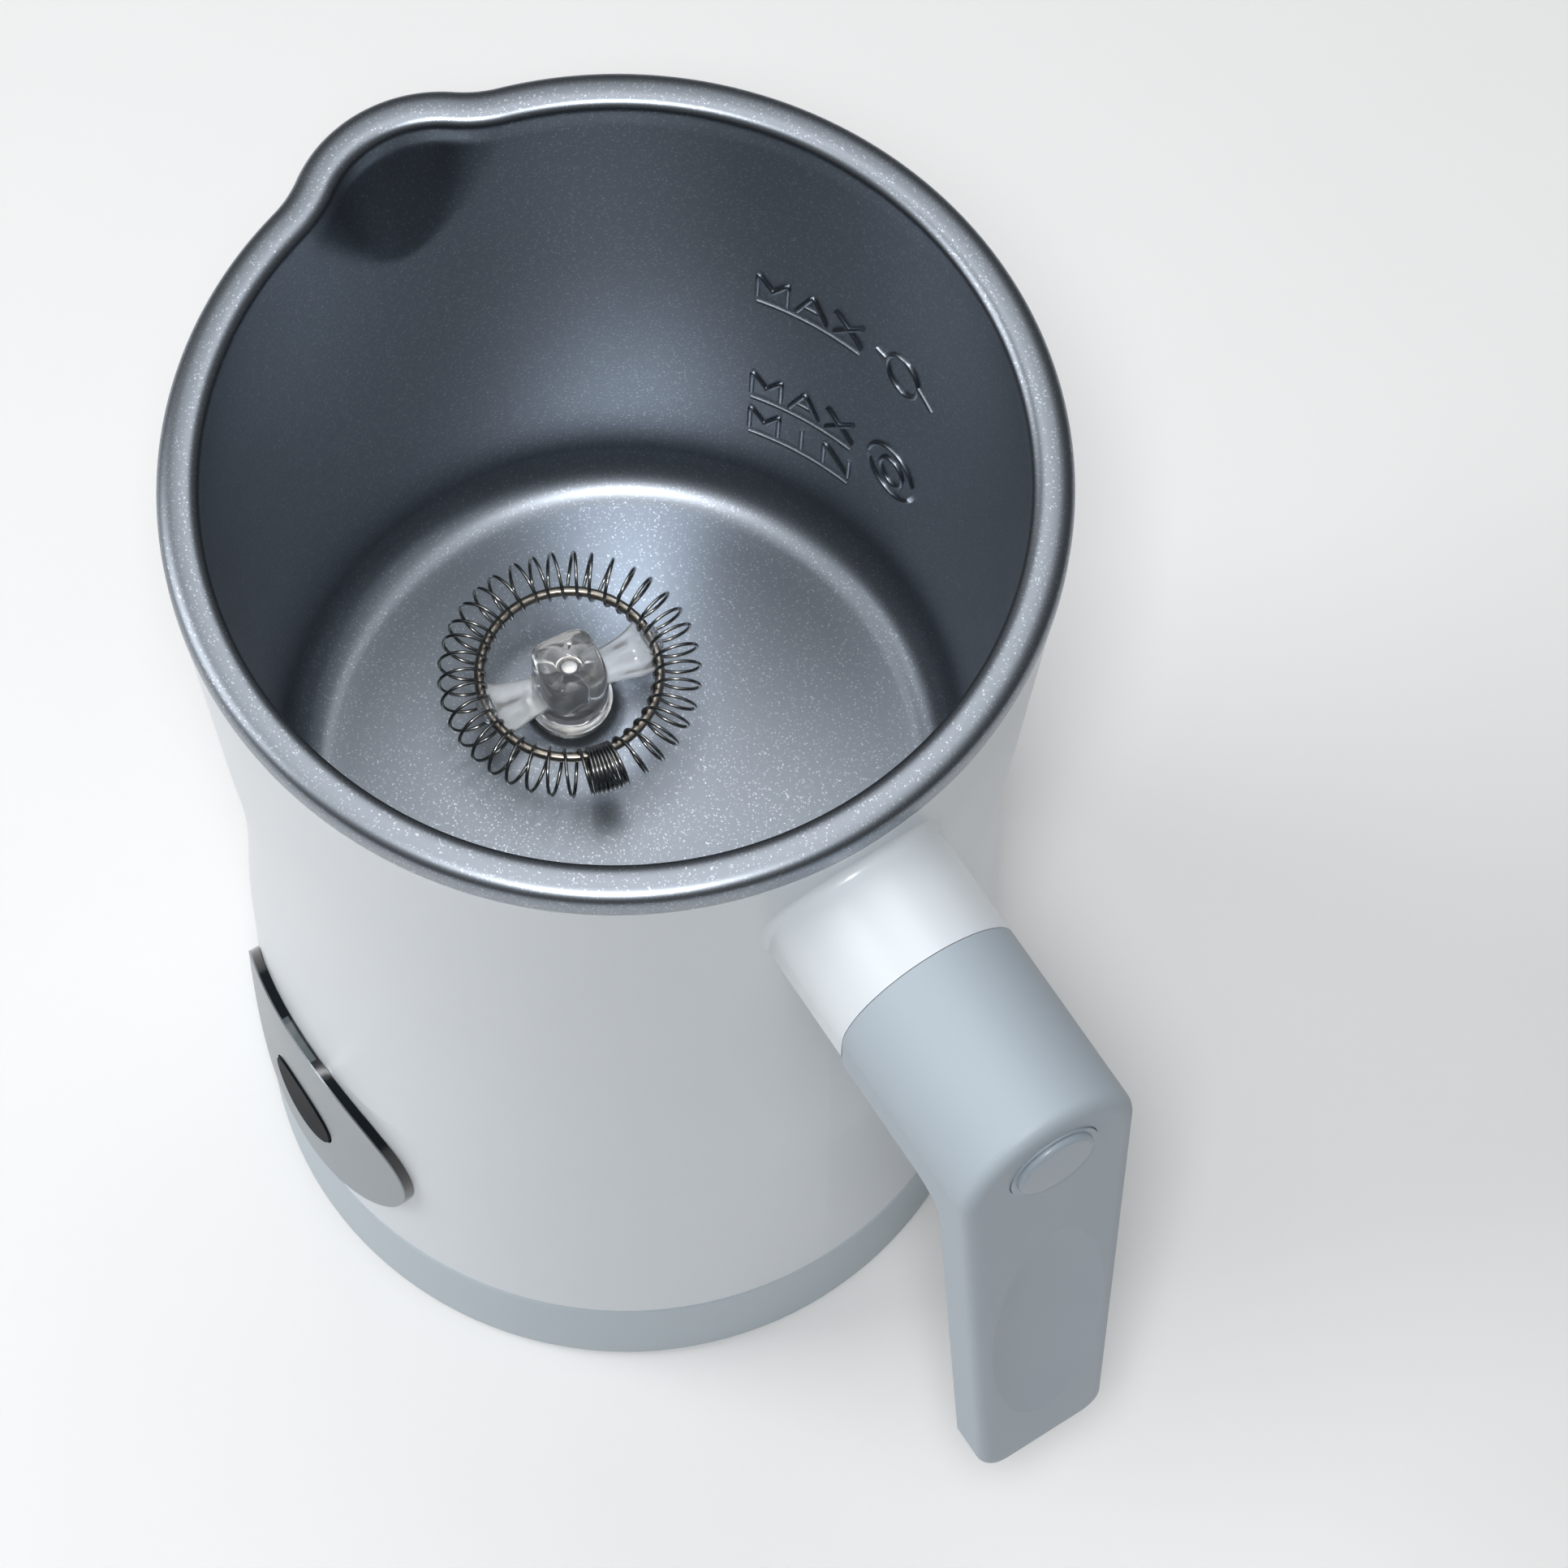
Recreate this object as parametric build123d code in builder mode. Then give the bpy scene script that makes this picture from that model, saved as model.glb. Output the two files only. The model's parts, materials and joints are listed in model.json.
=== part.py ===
from build123d import *
import math
import os

# Jug-type electric milk frother: a white jug with a grey L-shaped handle stands on a low
# power base. A coated inner cup hangs in the jug by its rolled rim, and a spring whisk
# sits on a motor-driven spindle in the cup floor, off the jug's axis.
# Frame: origin on the jug's axis in the plane of the table, +Z up, handle towards +X,
# control panel towards -Y, pouring spout towards -X. All sizes are millimetres.

os.makedirs("parts", exist_ok=True)

# Driving dimensions of the whole
RIM_TOP_Z = 172.7
RIM_R = 49.5
RIM_WIDTH = 4.7
RIM_H = 4.2
BASE_TOP_Z = 18.7
SEAM_GAP = 0.4
FOOT_H = 1.0
WALL = 2.2
RIM_UNDER_Z = RIM_TOP_Z - RIM_H

# Outer profile of the jug: a lower cone, a waisted middle and an upper cone
SHELL_Z0 = BASE_TOP_Z + SEAM_GAP
SHELL_Z1 = RIM_TOP_Z - RIM_H - 0.3
FOOT_R = 48.2
LOW_CREASE = (47.3, 63.8)
WAIST = (46.05, 94.0)
HIGH_CREASE = (47.1, 123.6)
SHELL_TOP_R = 49.3

# Inner cup
CUP_WALL = 1.2
CUP_TOP_R = RIM_R - RIM_WIDTH
CUP_FLOOR_R = 41.3
CUP_FLOOR_Z = 86.5
CUP_FILLET = 6.0

# Pouring spout: a tilted cylinder that leaves the wall at the rim
SPOUT_R = 17.0
SPOUT_X = -36.0
SPOUT_TILT = 14.0
SPOUT_BLEND = 14.0
SPOUT_MID_ANGLE = 27.0
CHANNEL_STEP = 0.25

# Handle
STUB_X = 62.0
STUB_BLEND = 1.0
ARM_HALF_W = 11.0
ARM_TOP_Z = 164.2
ARM_BOTTOM_Z = 146.2
ARCH_Z = ARM_TOP_Z - ARM_HALF_W
STRAP_BOTTOM_Z = 69.5
STRAP_BOTTOM_HALF_W = 8.6
STRAP_T = 5.8
CAP_X = 85.6
CAP_Z = 155.6
STRAP_LEAN = 5.4
CAP_R = 5.5
CAP_DEPTH = 2.4
CAP_STEP = 0.2
DISH_Y = -48.0
DISH_HALF_L = 27.0
DISH_AXIS = 20.0
DISH_DEPTH = 1.4
HEAD_X = 76.0
HANDLE_HEAD_R = 3.5
HANDLE_HEAD_T = 2.4
INSERT_X = 46.6
INSERT_L = 6.0
INSERT_R = 2.8
HANDLE_SCREW_R = 1.6

# Control panel
PANEL_Z = 44.0
PANEL_R = 18.9
PANEL_PROUD = 1.4
BUTTON_R = 6.3
BUTTON_DROP = 3.2
BUTTON_TRAVEL = 1.2

# Whisk and drive
WHISK_X = -11.8
SPINDLE_R = 1.5
FLAT_X = 1.2
BUSH_R = 4.0
RING_R = 11.0
RING_WIRE_R = 0.65
COIL_R = 13.1
COIL_OUTER = 3.05
COIL_INNER = 2.8
RING_Z = CUP_FLOOR_Z + 8.0

# Power base and connector
BASE_FOOT_R = 48.7
DECK_Z = 15.2
DECK_T = 2.2
BOSS_R = 14.8
BOSS_TOP_Z = 24.2
PIN_R = 1.9
BLADE_R0 = 7.9
BLADE_R1 = 8.7


def rim_outline(inset=0.0):
    """Plan outline of the rim: the round jug with the spout's arc blended into it."""
    main_r = RIM_R - inset
    spout_r = SPOUT_R - inset
    blend_r = SPOUT_BLEND + inset
    reach = main_r + blend_r
    side = spout_r + blend_r
    blend_x = (SPOUT_X**2 - side**2 + reach**2) / (2 * SPOUT_X)
    blend_y = math.sqrt(reach**2 - blend_x**2)
    on_main = (blend_x * main_r / reach, blend_y * main_r / reach)
    on_spout = (SPOUT_X + (blend_x - SPOUT_X) * spout_r / side, blend_y * spout_r / side)
    middle = (
        blend_x + blend_r * math.cos(math.radians(SPOUT_MID_ANGLE)),
        blend_y - blend_r * math.sin(math.radians(SPOUT_MID_ANGLE)),
    )
    with BuildSketch() as outline:
        with BuildLine():
            ThreePointArc(on_main, (main_r, 0), (on_main[0], -on_main[1]))
            ThreePointArc(
                (on_main[0], -on_main[1]), (middle[0], -middle[1]), (on_spout[0], -on_spout[1])
            )
            ThreePointArc(
                (on_spout[0], -on_spout[1]), (SPOUT_X - spout_r, 0), (on_spout[0], on_spout[1])
            )
            ThreePointArc((on_spout[0], on_spout[1]), middle, on_main)
        make_face()
    return outline.sketch


def spout_plane(radius, step_in=0.0):
    """Plane square to the spout's axis, set so that a cylinder of this radius meets the rim."""
    tilt = math.radians(SPOUT_TILT)
    lean_in = radius / math.cos(tilt) - radius + step_in
    return Plane(
        origin=(SPOUT_X + lean_in, 0, RIM_UNDER_Z),
        x_dir=(0, 1, 0),
        z_dir=(-math.sin(tilt), 0, math.cos(tilt)),
    )


def body_r(z):
    """Outer radius of the jug's lower cone at a height."""
    share = (z - SHELL_Z0) / (LOW_CREASE[1] - SHELL_Z0)
    return FOOT_R + (LOW_CREASE[0] - FOOT_R) * share


PANEL_Y = -body_r(PANEL_Z)
PANEL_PLANE = Plane(origin=(0, 0, PANEL_Z), x_dir=(1, 0, 0), z_dir=(0, -1, 0))
BUTTON_PLANE = Plane(origin=(0, 0, PANEL_Z - BUTTON_DROP), x_dir=(1, 0, 0), z_dir=(0, -1, 0))


def panel_layer(low, high, radius, plane=PANEL_PLANE):
    """A layer of the panel, between two offsets from the jug's lower cone, cut round."""
    z0 = PANEL_Z - 24.0
    z1 = PANEL_Z + 24.0
    with BuildPart() as layer:
        with BuildSketch(Plane.XZ):
            Polygon(
                (body_r(z0) + low, z0),
                (body_r(z0) + high, z0),
                (body_r(z1) + high, z1),
                (body_r(z1) + low, z1),
                align=None,
            )
        revolve(axis=Axis.Z)
        with BuildSketch(plane):
            Circle(radius)
        extrude(amount=60, mode=Mode.INTERSECT)
    return layer.part


# ---------------------------------------------------------------- power base
SKIRT_R = 46.2
LIP_R = 45.9
PAD_RING_R = 30.0
PAD_H = 0.5
SCREW_RING_R = 36.0
SCREW_START = 30
FOOT_RING_R0 = 40.4
FOOT_RING_R1 = 43.8
FOOT_SEAT = 0.5
FOOT_SEAT_GAP = 0.1
GLAND_Z = 8.0
GLAND_R = 4.2
GLAND_Y = 42.8
CORD_R = 3.2
PLATE_T = 2.0
HEAD_SEAT = 1.2
HEAD_RECESS = 0.1
CROSS_L = 2.8
CROSS_W = 0.6
CROSS_DEPTH = 0.7

with BuildPart() as base_housing:
    with BuildSketch(Plane.XZ):
        with BuildLine():
            Polyline(
                (SKIRT_R + 0.2, FOOT_H),
                (BASE_FOOT_R - 0.8, FOOT_H),
                (BASE_FOOT_R, FOOT_H + 0.8),
                (FOOT_R + 0.1, BASE_TOP_Z - 0.5),
                (FOOT_R - 0.3, BASE_TOP_Z),
                (LIP_R, BASE_TOP_Z),
                (LIP_R, DECK_Z),
                (BOSS_R + 0.4, DECK_Z),
                (BOSS_R + 0.4, DECK_Z - DECK_T),
                (SKIRT_R, DECK_Z - DECK_T),
                close=True,
            )
        make_face()
    revolve(axis=Axis.Z)
    # flat pads that carry the jug
    with BuildSketch(Plane.XY.offset(DECK_Z)):
        with PolarLocations(PAD_RING_R, 3, start_angle=SCREW_START):
            Circle(3.5)
    extrude(amount=PAD_H)
    # screw posts under the deck
    with BuildSketch(Plane.XY.offset(FOOT_H + PLATE_T)):
        with PolarLocations(SCREW_RING_R, 3, start_angle=SCREW_START):
            Circle(3.2)
    extrude(until=Until.NEXT)
    with BuildSketch(Plane.XY.offset(FOOT_H + PLATE_T)):
        with PolarLocations(SCREW_RING_R, 3, start_angle=SCREW_START):
            Circle(1.25)
    extrude(amount=8.0, mode=Mode.SUBTRACT)
    # cord hole at the back
    with BuildSketch(Plane.XZ.offset(-40)):
        with Locations((0, GLAND_Z)):
            Circle(GLAND_R + 0.1)
    extrude(amount=-12, mode=Mode.SUBTRACT)

with BuildPart() as base_plate:
    with BuildSketch(Plane.XY.offset(FOOT_H)):
        Circle(SKIRT_R - 0.2)
    extrude(amount=PLATE_T)
    with BuildSketch(Plane.XY.offset(FOOT_H)):
        with PolarLocations(SCREW_RING_R, 3, start_angle=SCREW_START):
            Circle(1.6)
    extrude(amount=PLATE_T, mode=Mode.SUBTRACT)
    with BuildSketch(Plane.XY.offset(FOOT_H)):
        with PolarLocations(SCREW_RING_R, 3, start_angle=SCREW_START):
            Circle(3.1)
    extrude(amount=HEAD_SEAT, mode=Mode.SUBTRACT)
    with BuildSketch(Plane.XY.offset(FOOT_H)):
        Circle(FOOT_RING_R1 + FOOT_SEAT_GAP)
        Circle(FOOT_RING_R0 - FOOT_SEAT_GAP, mode=Mode.SUBTRACT)
    extrude(amount=FOOT_SEAT, mode=Mode.SUBTRACT)

with BuildPart() as foot_ring:
    with BuildSketch(Plane.XY):
        Circle(FOOT_RING_R1)
        Circle(FOOT_RING_R0, mode=Mode.SUBTRACT)
    extrude(amount=FOOT_H + FOOT_SEAT)
    chamfer(foot_ring.faces().sort_by(Axis.Z)[0].edges(), 0.3)

with BuildPart() as base_screws:
    with BuildSketch(Plane.XY.offset(FOOT_H + HEAD_RECESS)):
        with PolarLocations(SCREW_RING_R, 3, start_angle=SCREW_START):
            Circle(2.8)
    extrude(amount=HEAD_SEAT - HEAD_RECESS)
    with BuildSketch(Plane.XY.offset(FOOT_H + HEAD_RECESS)):
        with PolarLocations(SCREW_RING_R, 3, start_angle=SCREW_START):
            Circle(1.15)
    extrude(amount=9.0)
    with BuildSketch(Plane.XY.offset(FOOT_H + HEAD_RECESS)):
        with PolarLocations(SCREW_RING_R, 3, start_angle=SCREW_START):
            Rectangle(CROSS_L, CROSS_W)
            Rectangle(CROSS_W, CROSS_L)
    extrude(amount=CROSS_DEPTH, mode=Mode.SUBTRACT)

SLOT_R0 = 7.5
SLOT_R1 = 9.7
CONTACT_Z = 14.3
FLANGE_Z = 10.6
SOCKET_R = 3.0
RING_CONTACT_R0 = 9.0
RING_CONTACT_R1 = 9.5
TAB_RING_R = 9.25
TAIL_L = 3.0

with BuildPart() as base_connector:
    with BuildSketch(Plane.XZ):
        with BuildLine():
            Polyline(
                (SOCKET_R, FLANGE_Z),
                (BOSS_R + 3.2, FLANGE_Z),
                (BOSS_R + 3.2, DECK_Z - DECK_T),
                (BOSS_R, DECK_Z - DECK_T),
                (BOSS_R, BOSS_TOP_Z - 1.0),
                (BOSS_R - 1.0, BOSS_TOP_Z),
                (SLOT_R1, BOSS_TOP_Z),
                (SLOT_R1, CONTACT_Z),
                (SLOT_R0, CONTACT_Z),
                (SLOT_R0, BOSS_TOP_Z),
                (SOCKET_R, BOSS_TOP_Z),
                close=True,
            )
        make_face()
    revolve(axis=Axis.Z)
    # slots for the tabs of the ring contact
    with BuildSketch(Plane.XY.offset(FLANGE_Z)):
        with PolarLocations(TAB_RING_R, 2):
            Rectangle(0.8, 3.0)
    extrude(amount=CONTACT_Z - FLANGE_Z, mode=Mode.SUBTRACT)

with BuildPart() as base_contacts:
    with BuildSketch(Plane.XY.offset(FLANGE_Z - TAIL_L)):
        Circle(SOCKET_R - 0.1)
        Circle(PIN_R + 0.4, mode=Mode.SUBTRACT)
    extrude(amount=12.0)
    with BuildSketch(Plane.XY.offset(CONTACT_Z)):
        Circle(RING_CONTACT_R1)
        Circle(RING_CONTACT_R0, mode=Mode.SUBTRACT)
    extrude(amount=6.0)
    with BuildSketch(Plane.XY.offset(FLANGE_Z - TAIL_L)):
        with PolarLocations(TAB_RING_R, 2):
            Rectangle(0.4, 2.6)
    extrude(amount=CONTACT_Z - FLANGE_Z + TAIL_L + 0.5)

with BuildPart() as cord_gland:
    with BuildSketch(Plane.XY.offset(GLAND_Z)):
        with BuildLine():
            Polyline(
                (CORD_R, GLAND_Y),
                (GLAND_R + 0.6, GLAND_Y),
                (GLAND_R + 0.6, GLAND_Y + 2.0),
                (GLAND_R, GLAND_Y + 2.0),
                (GLAND_R, BASE_FOOT_R),
                (GLAND_R + 1.2, BASE_FOOT_R),
                (GLAND_R + 1.2, GLAND_Y + 7.4),
                (GLAND_R + 0.6, GLAND_Y + 8.0),
                (CORD_R, GLAND_Y + 8.0),
                close=True,
            )
        make_face()
    revolve(axis=Axis((0, 0, GLAND_Z), (0, 1, 0)))

# ---------------------------------------------------------------- jug housing
STUB_ROOT_X = 40.0
SPIGOT_W = 12.0
SPIGOT_H = 9.0
SPIGOT_L = 8.0
PANEL_OPENING_R = 15.4

with BuildPart() as stub:
    with BuildSketch(Plane.YZ.offset(STUB_ROOT_X)) as stub_profile:
        with BuildLine():
            Line((-ARM_HALF_W, ARCH_Z), (-ARM_HALF_W, ARM_BOTTOM_Z))
            Line((-ARM_HALF_W, ARM_BOTTOM_Z), (ARM_HALF_W, ARM_BOTTOM_Z))
            Line((ARM_HALF_W, ARM_BOTTOM_Z), (ARM_HALF_W, ARCH_Z))
            ThreePointArc((ARM_HALF_W, ARCH_Z), (0, ARM_TOP_Z), (-ARM_HALF_W, ARCH_Z))
        make_face()
        fillet(stub_profile.vertices().group_by(Axis.Y)[0], 3.0)
    extrude(amount=STUB_X - STUB_ROOT_X - 0.1)

with BuildPart() as outer_shell:
    with BuildSketch(Plane.XZ):
        with BuildLine():
            Line((0, SHELL_Z0), (FOOT_R, SHELL_Z0))
            Line((FOOT_R, SHELL_Z0), LOW_CREASE)
            ThreePointArc(LOW_CREASE, WAIST, HIGH_CREASE)
            Line(HIGH_CREASE, (SHELL_TOP_R, SHELL_Z1))
            Line((SHELL_TOP_R, SHELL_Z1), (0, SHELL_Z1))
            Line((0, SHELL_Z1), (0, SHELL_Z0))
        make_face()
    revolve(axis=Axis.Z)
    # bulge under the spout
    with BuildSketch(spout_plane(SPOUT_R - 0.2)):
        Circle(SPOUT_R - 0.2)
    extrude(amount=36, both=True)
    split(bisect_by=Plane.XY.offset(SHELL_Z1), keep=Keep.BOTTOM)
    # white stub that carries the handle
    add(stub.part)
    junction = [
        edge
        for edge in outer_shell.edges().filter_by(GeomType.LINE, reverse=True)
        if 45 < edge.center().X < 52 and ARM_BOTTOM_Z - 1 < edge.center().Z < ARM_TOP_Z
    ]
    fillet(junction, STUB_BLEND)
    # hollow inside
    with BuildSketch(Plane.XZ):
        with BuildLine():
            Line((0, SHELL_Z0 - 1), (FOOT_R - WALL, SHELL_Z0 - 1))
            Line((FOOT_R - WALL, SHELL_Z0 - 1), (LOW_CREASE[0] - WALL, LOW_CREASE[1]))
            ThreePointArc(
                (LOW_CREASE[0] - WALL, LOW_CREASE[1]),
                (WAIST[0] - WALL, WAIST[1]),
                (HIGH_CREASE[0] - WALL, HIGH_CREASE[1]),
            )
            Line((HIGH_CREASE[0] - WALL, HIGH_CREASE[1]), (SHELL_TOP_R - WALL, SHELL_Z1 + 1))
            Line((SHELL_TOP_R - WALL, SHELL_Z1 + 1), (0, SHELL_Z1 + 1))
            Line((0, SHELL_Z1 + 1), (0, SHELL_Z0 - 1))
        make_face()
    revolve(axis=Axis.Z, mode=Mode.SUBTRACT)
    with BuildSketch(spout_plane(SPOUT_R - 2.2)):
        Circle(SPOUT_R - 2.2)
    extrude(amount=36, both=True, mode=Mode.SUBTRACT)
    # pocket in the stub for the handle's spigot, and the hole for its screw insert
    with BuildSketch(Plane.YZ.offset(STUB_X)):
        with Locations((0, CAP_Z)):
            RectangleRounded(SPIGOT_W + 0.4, SPIGOT_H + 0.4, 2.0)
    extrude(amount=-SPIGOT_L - 1.0, mode=Mode.SUBTRACT)
    with BuildSketch(Plane.YZ.offset(STUB_X)):
        with Locations((0, CAP_Z)):
            Circle(INSERT_R)
    extrude(amount=-20, mode=Mode.SUBTRACT)
    # round opening behind the control panel
    with BuildSketch(PANEL_PLANE):
        Circle(PANEL_OPENING_R)
    extrude(amount=60, mode=Mode.SUBTRACT)


def cup_profile(grow, floor_z):
    """Half section of the cup's wall and floor, grown outwards by a thickness."""
    floor_corner = (CUP_FLOOR_R + grow - 0.3, floor_z)
    with BuildSketch(Plane.XZ) as section:
        with BuildLine():
            Polyline(
                (0, floor_z),
                floor_corner,
                (CUP_TOP_R + grow, RIM_UNDER_Z),
                (0, RIM_UNDER_Z),
                close=True,
            )
        make_face()
        corner = section.vertices().sort_by_distance(floor_corner)[0]
        fillet(corner, CUP_FILLET + grow)
    return section.sketch


with BuildPart() as inner_cup:
    with BuildSketch(Plane.XZ):
        add(cup_profile(CUP_WALL, CUP_FLOOR_Z - CUP_WALL))
    revolve(axis=Axis.Z)
    # outside of the spout's channel
    with BuildSketch(spout_plane(SPOUT_R - RIM_WIDTH + CUP_WALL, CHANNEL_STEP)):
        Circle(SPOUT_R - RIM_WIDTH + CUP_WALL)
    extrude(amount=30, both=True)
    split(bisect_by=Plane.XY.offset(RIM_UNDER_Z), keep=Keep.BOTTOM)
    # rolled rim
    with BuildSketch(Plane.XY.offset(RIM_UNDER_Z)):
        add(rim_outline())
    extrude(amount=RIM_H)
    with BuildSketch(Plane.XY.offset(RIM_UNDER_Z)):
        add(rim_outline(RIM_WIDTH))
    extrude(amount=RIM_H, mode=Mode.SUBTRACT)
    fillet(inner_cup.edges().group_by(Axis.Z)[-1], RIM_WIDTH / 2 - 0.25)
    # inside of the cup and of the spout's channel
    with BuildSketch(Plane.XZ):
        add(cup_profile(0.0, CUP_FLOOR_Z))
    revolve(axis=Axis.Z, mode=Mode.SUBTRACT)
    with BuildSketch(spout_plane(SPOUT_R - RIM_WIDTH, CHANNEL_STEP)):
        Circle(SPOUT_R - RIM_WIDTH)
    extrude(amount=36, both=True, mode=Mode.SUBTRACT)
    # hole for the spindle's bush
    with BuildSketch(Plane.XY.offset(CUP_FLOOR_Z - CUP_WALL)):
        with Locations((WHISK_X, 0)):
            Circle(BUSH_R)
    extrude(amount=CUP_WALL, mode=Mode.SUBTRACT)

with BuildPart() as rim_seal:
    with BuildSketch(Plane.XY.offset(SHELL_Z1)):
        add(rim_outline(1.2))
        add(rim_outline(3.5), mode=Mode.SUBTRACT)
    extrude(amount=0.3)

COVER_Z = DECK_Z + PAD_H
COVER_T = 2.0
COVER_RIM_R = 43.6
TOWER_R0 = BOSS_R + 0.8
TOWER_R1 = TOWER_R0 + 1.8
TOWER_TOP_Z = 26.4
POST_RING_R = 37.0
POST_ANGLES = (30, 150, 210, 330)
BOARD_Z = 34.0
BOARD_POST_R = 27.0
BRACKET_Z = 70.0
BRACKET_T = 2.4

with BuildPart() as bottom_cover:
    with BuildSketch(Plane.XZ):
        with BuildLine():
            Polyline(
                (TOWER_R0, COVER_Z),
                (LIP_R - 0.6, COVER_Z),
                (LIP_R - 0.6, SHELL_Z0),
                (LIP_R - 0.2, SHELL_Z0),
                (LIP_R - 0.2, SHELL_Z0 + 6.0),
                (COVER_RIM_R, SHELL_Z0 + 6.0),
                (COVER_RIM_R, COVER_Z + COVER_T),
                (TOWER_R1, COVER_Z + COVER_T),
                (TOWER_R1, TOWER_TOP_Z),
                (TOWER_R0, TOWER_TOP_Z),
                close=True,
            )
        make_face()
    revolve(axis=Axis.Z)
    # standoffs for the control board
    with BuildSketch(Plane.XY.offset(COVER_Z + COVER_T)):
        with PolarLocations(BOARD_POST_R, 4):
            Circle(2.6)
    extrude(amount=BOARD_Z - COVER_Z - COVER_T)
    with BuildSketch(Plane.XY.offset(BOARD_Z)):
        with PolarLocations(BOARD_POST_R, 4):
            Circle(1.1)
    extrude(amount=-8.0, mode=Mode.SUBTRACT)
    # holes for the screws that hold the motor bracket's posts
    for angle in POST_ANGLES:
        with BuildSketch(Plane.XY.offset(COVER_Z)):
            with PolarLocations(POST_RING_R, 1, start_angle=angle):
                Circle(1.7)
        extrude(amount=COVER_T, mode=Mode.SUBTRACT)
        with BuildSketch(Plane.XY.offset(COVER_Z)):
            with PolarLocations(POST_RING_R, 1, start_angle=angle):
                Circle(3.0)
        extrude(amount=HEAD_SEAT, mode=Mode.SUBTRACT)

BLADE_SLOT = 1.2
CONNECTOR_T = 3.5
BLADE_MID_R = (BLADE_R0 + BLADE_R1) / 2
CONTACT_END_Z = COVER_Z + 0.5

with BuildPart() as jug_connector:
    with BuildSketch(Plane.XY.offset(TOWER_TOP_Z)):
        Circle(TOWER_R1 - 0.2)
        Circle(PIN_R, mode=Mode.SUBTRACT)
    extrude(amount=CONNECTOR_T)
    with BuildSketch(Plane.XY.offset(TOWER_TOP_Z)):
        Circle(BLADE_R1)
        Circle(BLADE_R0, mode=Mode.SUBTRACT)
    extrude(amount=BLADE_SLOT, mode=Mode.SUBTRACT)
    with BuildSketch(Plane.XY.offset(TOWER_TOP_Z)):
        with PolarLocations(BLADE_MID_R, 2):
            Rectangle(0.8, 3.0)
    extrude(amount=CONNECTOR_T, mode=Mode.SUBTRACT)

with BuildPart() as jug_contacts:
    with BuildSketch(Plane.XY.offset(CONTACT_END_Z)):
        Circle(PIN_R)
    extrude(amount=15.0)
    chamfer(jug_contacts.faces().sort_by(Axis.Z)[0].edges(), 0.6)
    with BuildSketch(Plane.XY.offset(CONTACT_END_Z)):
        Circle(BLADE_R1)
        Circle(BLADE_R0, mode=Mode.SUBTRACT)
    extrude(amount=TOWER_TOP_Z + BLADE_SLOT - CONTACT_END_Z)
    with BuildSketch(Plane.XY.offset(TOWER_TOP_Z + BLADE_SLOT)):
        with PolarLocations(BLADE_MID_R, 2):
            Rectangle(0.8, 3.0)
    extrude(amount=4.3)

JUG_HEAD_T = 1.0

with BuildPart() as jug_screws:
    for angle in POST_ANGLES:
        with BuildSketch(Plane.XY.offset(COVER_Z + HEAD_SEAT - JUG_HEAD_T)):
            with PolarLocations(POST_RING_R, 1, start_angle=angle):
                Circle(2.7)
        extrude(amount=JUG_HEAD_T)
        with BuildSketch(Plane.XY.offset(COVER_Z + HEAD_SEAT - JUG_HEAD_T)):
            with PolarLocations(POST_RING_R, 1, start_angle=angle):
                Circle(1.3)
        extrude(amount=11.0)
        with BuildSketch(Plane.XY.offset(COVER_Z + HEAD_SEAT - JUG_HEAD_T)):
            with PolarLocations(POST_RING_R, 1, start_angle=angle):
                Rectangle(CROSS_L, CROSS_W)
                Rectangle(CROSS_W, CROSS_L)
        extrude(amount=CROSS_DEPTH, mode=Mode.SUBTRACT)

# ---------------------------------------------------------------- drive and heater
MOTOR_R = 12.0
MOTOR_H = 30.0
MOTOR_NECK_H = 2.0
MOTOR_SCREW_Y = 8.0
SHAFT_R = 1.15
SPINDLE_Z0 = BRACKET_Z + 5.5
COUPLING_R = 3.4
COUPLING_Z0 = BRACKET_Z + 3.0
COUPLING_L = 5.5
COLD_PIN_X = 28.0
COLD_PIN_Y = 9.5

with BuildPart() as motor_bracket:
    with BuildSketch(Plane.XY.offset(BRACKET_Z)):
        Circle(41.0)
    extrude(amount=BRACKET_T)
    for angle in POST_ANGLES:
        with BuildSketch(Plane.XY.offset(COVER_Z + COVER_T)):
            with PolarLocations(POST_RING_R, 1, start_angle=angle):
                Circle(3.2)
        extrude(amount=BRACKET_Z - COVER_Z - COVER_T)
        with BuildSketch(Plane.XY.offset(COVER_Z + COVER_T)):
            with PolarLocations(POST_RING_R, 1, start_angle=angle):
                Circle(1.35)
        extrude(amount=12.0, mode=Mode.SUBTRACT)
    with BuildSketch(Plane.XY.offset(BRACKET_Z)):
        with Locations((WHISK_X, 0)):
            Circle(4.0)
        with Locations((WHISK_X, -MOTOR_SCREW_Y), (WHISK_X, MOTOR_SCREW_Y)):
            Circle(1.35)
        # passages for the heater's cold pins and for wiring
        with Locations((COLD_PIN_X, -COLD_PIN_Y), (COLD_PIN_X, COLD_PIN_Y)):
            Circle(3.0)
        with Locations((12, 22), (12, -22)):
            SlotOverall(10, 5)
    extrude(amount=BRACKET_T, mode=Mode.SUBTRACT)

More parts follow.
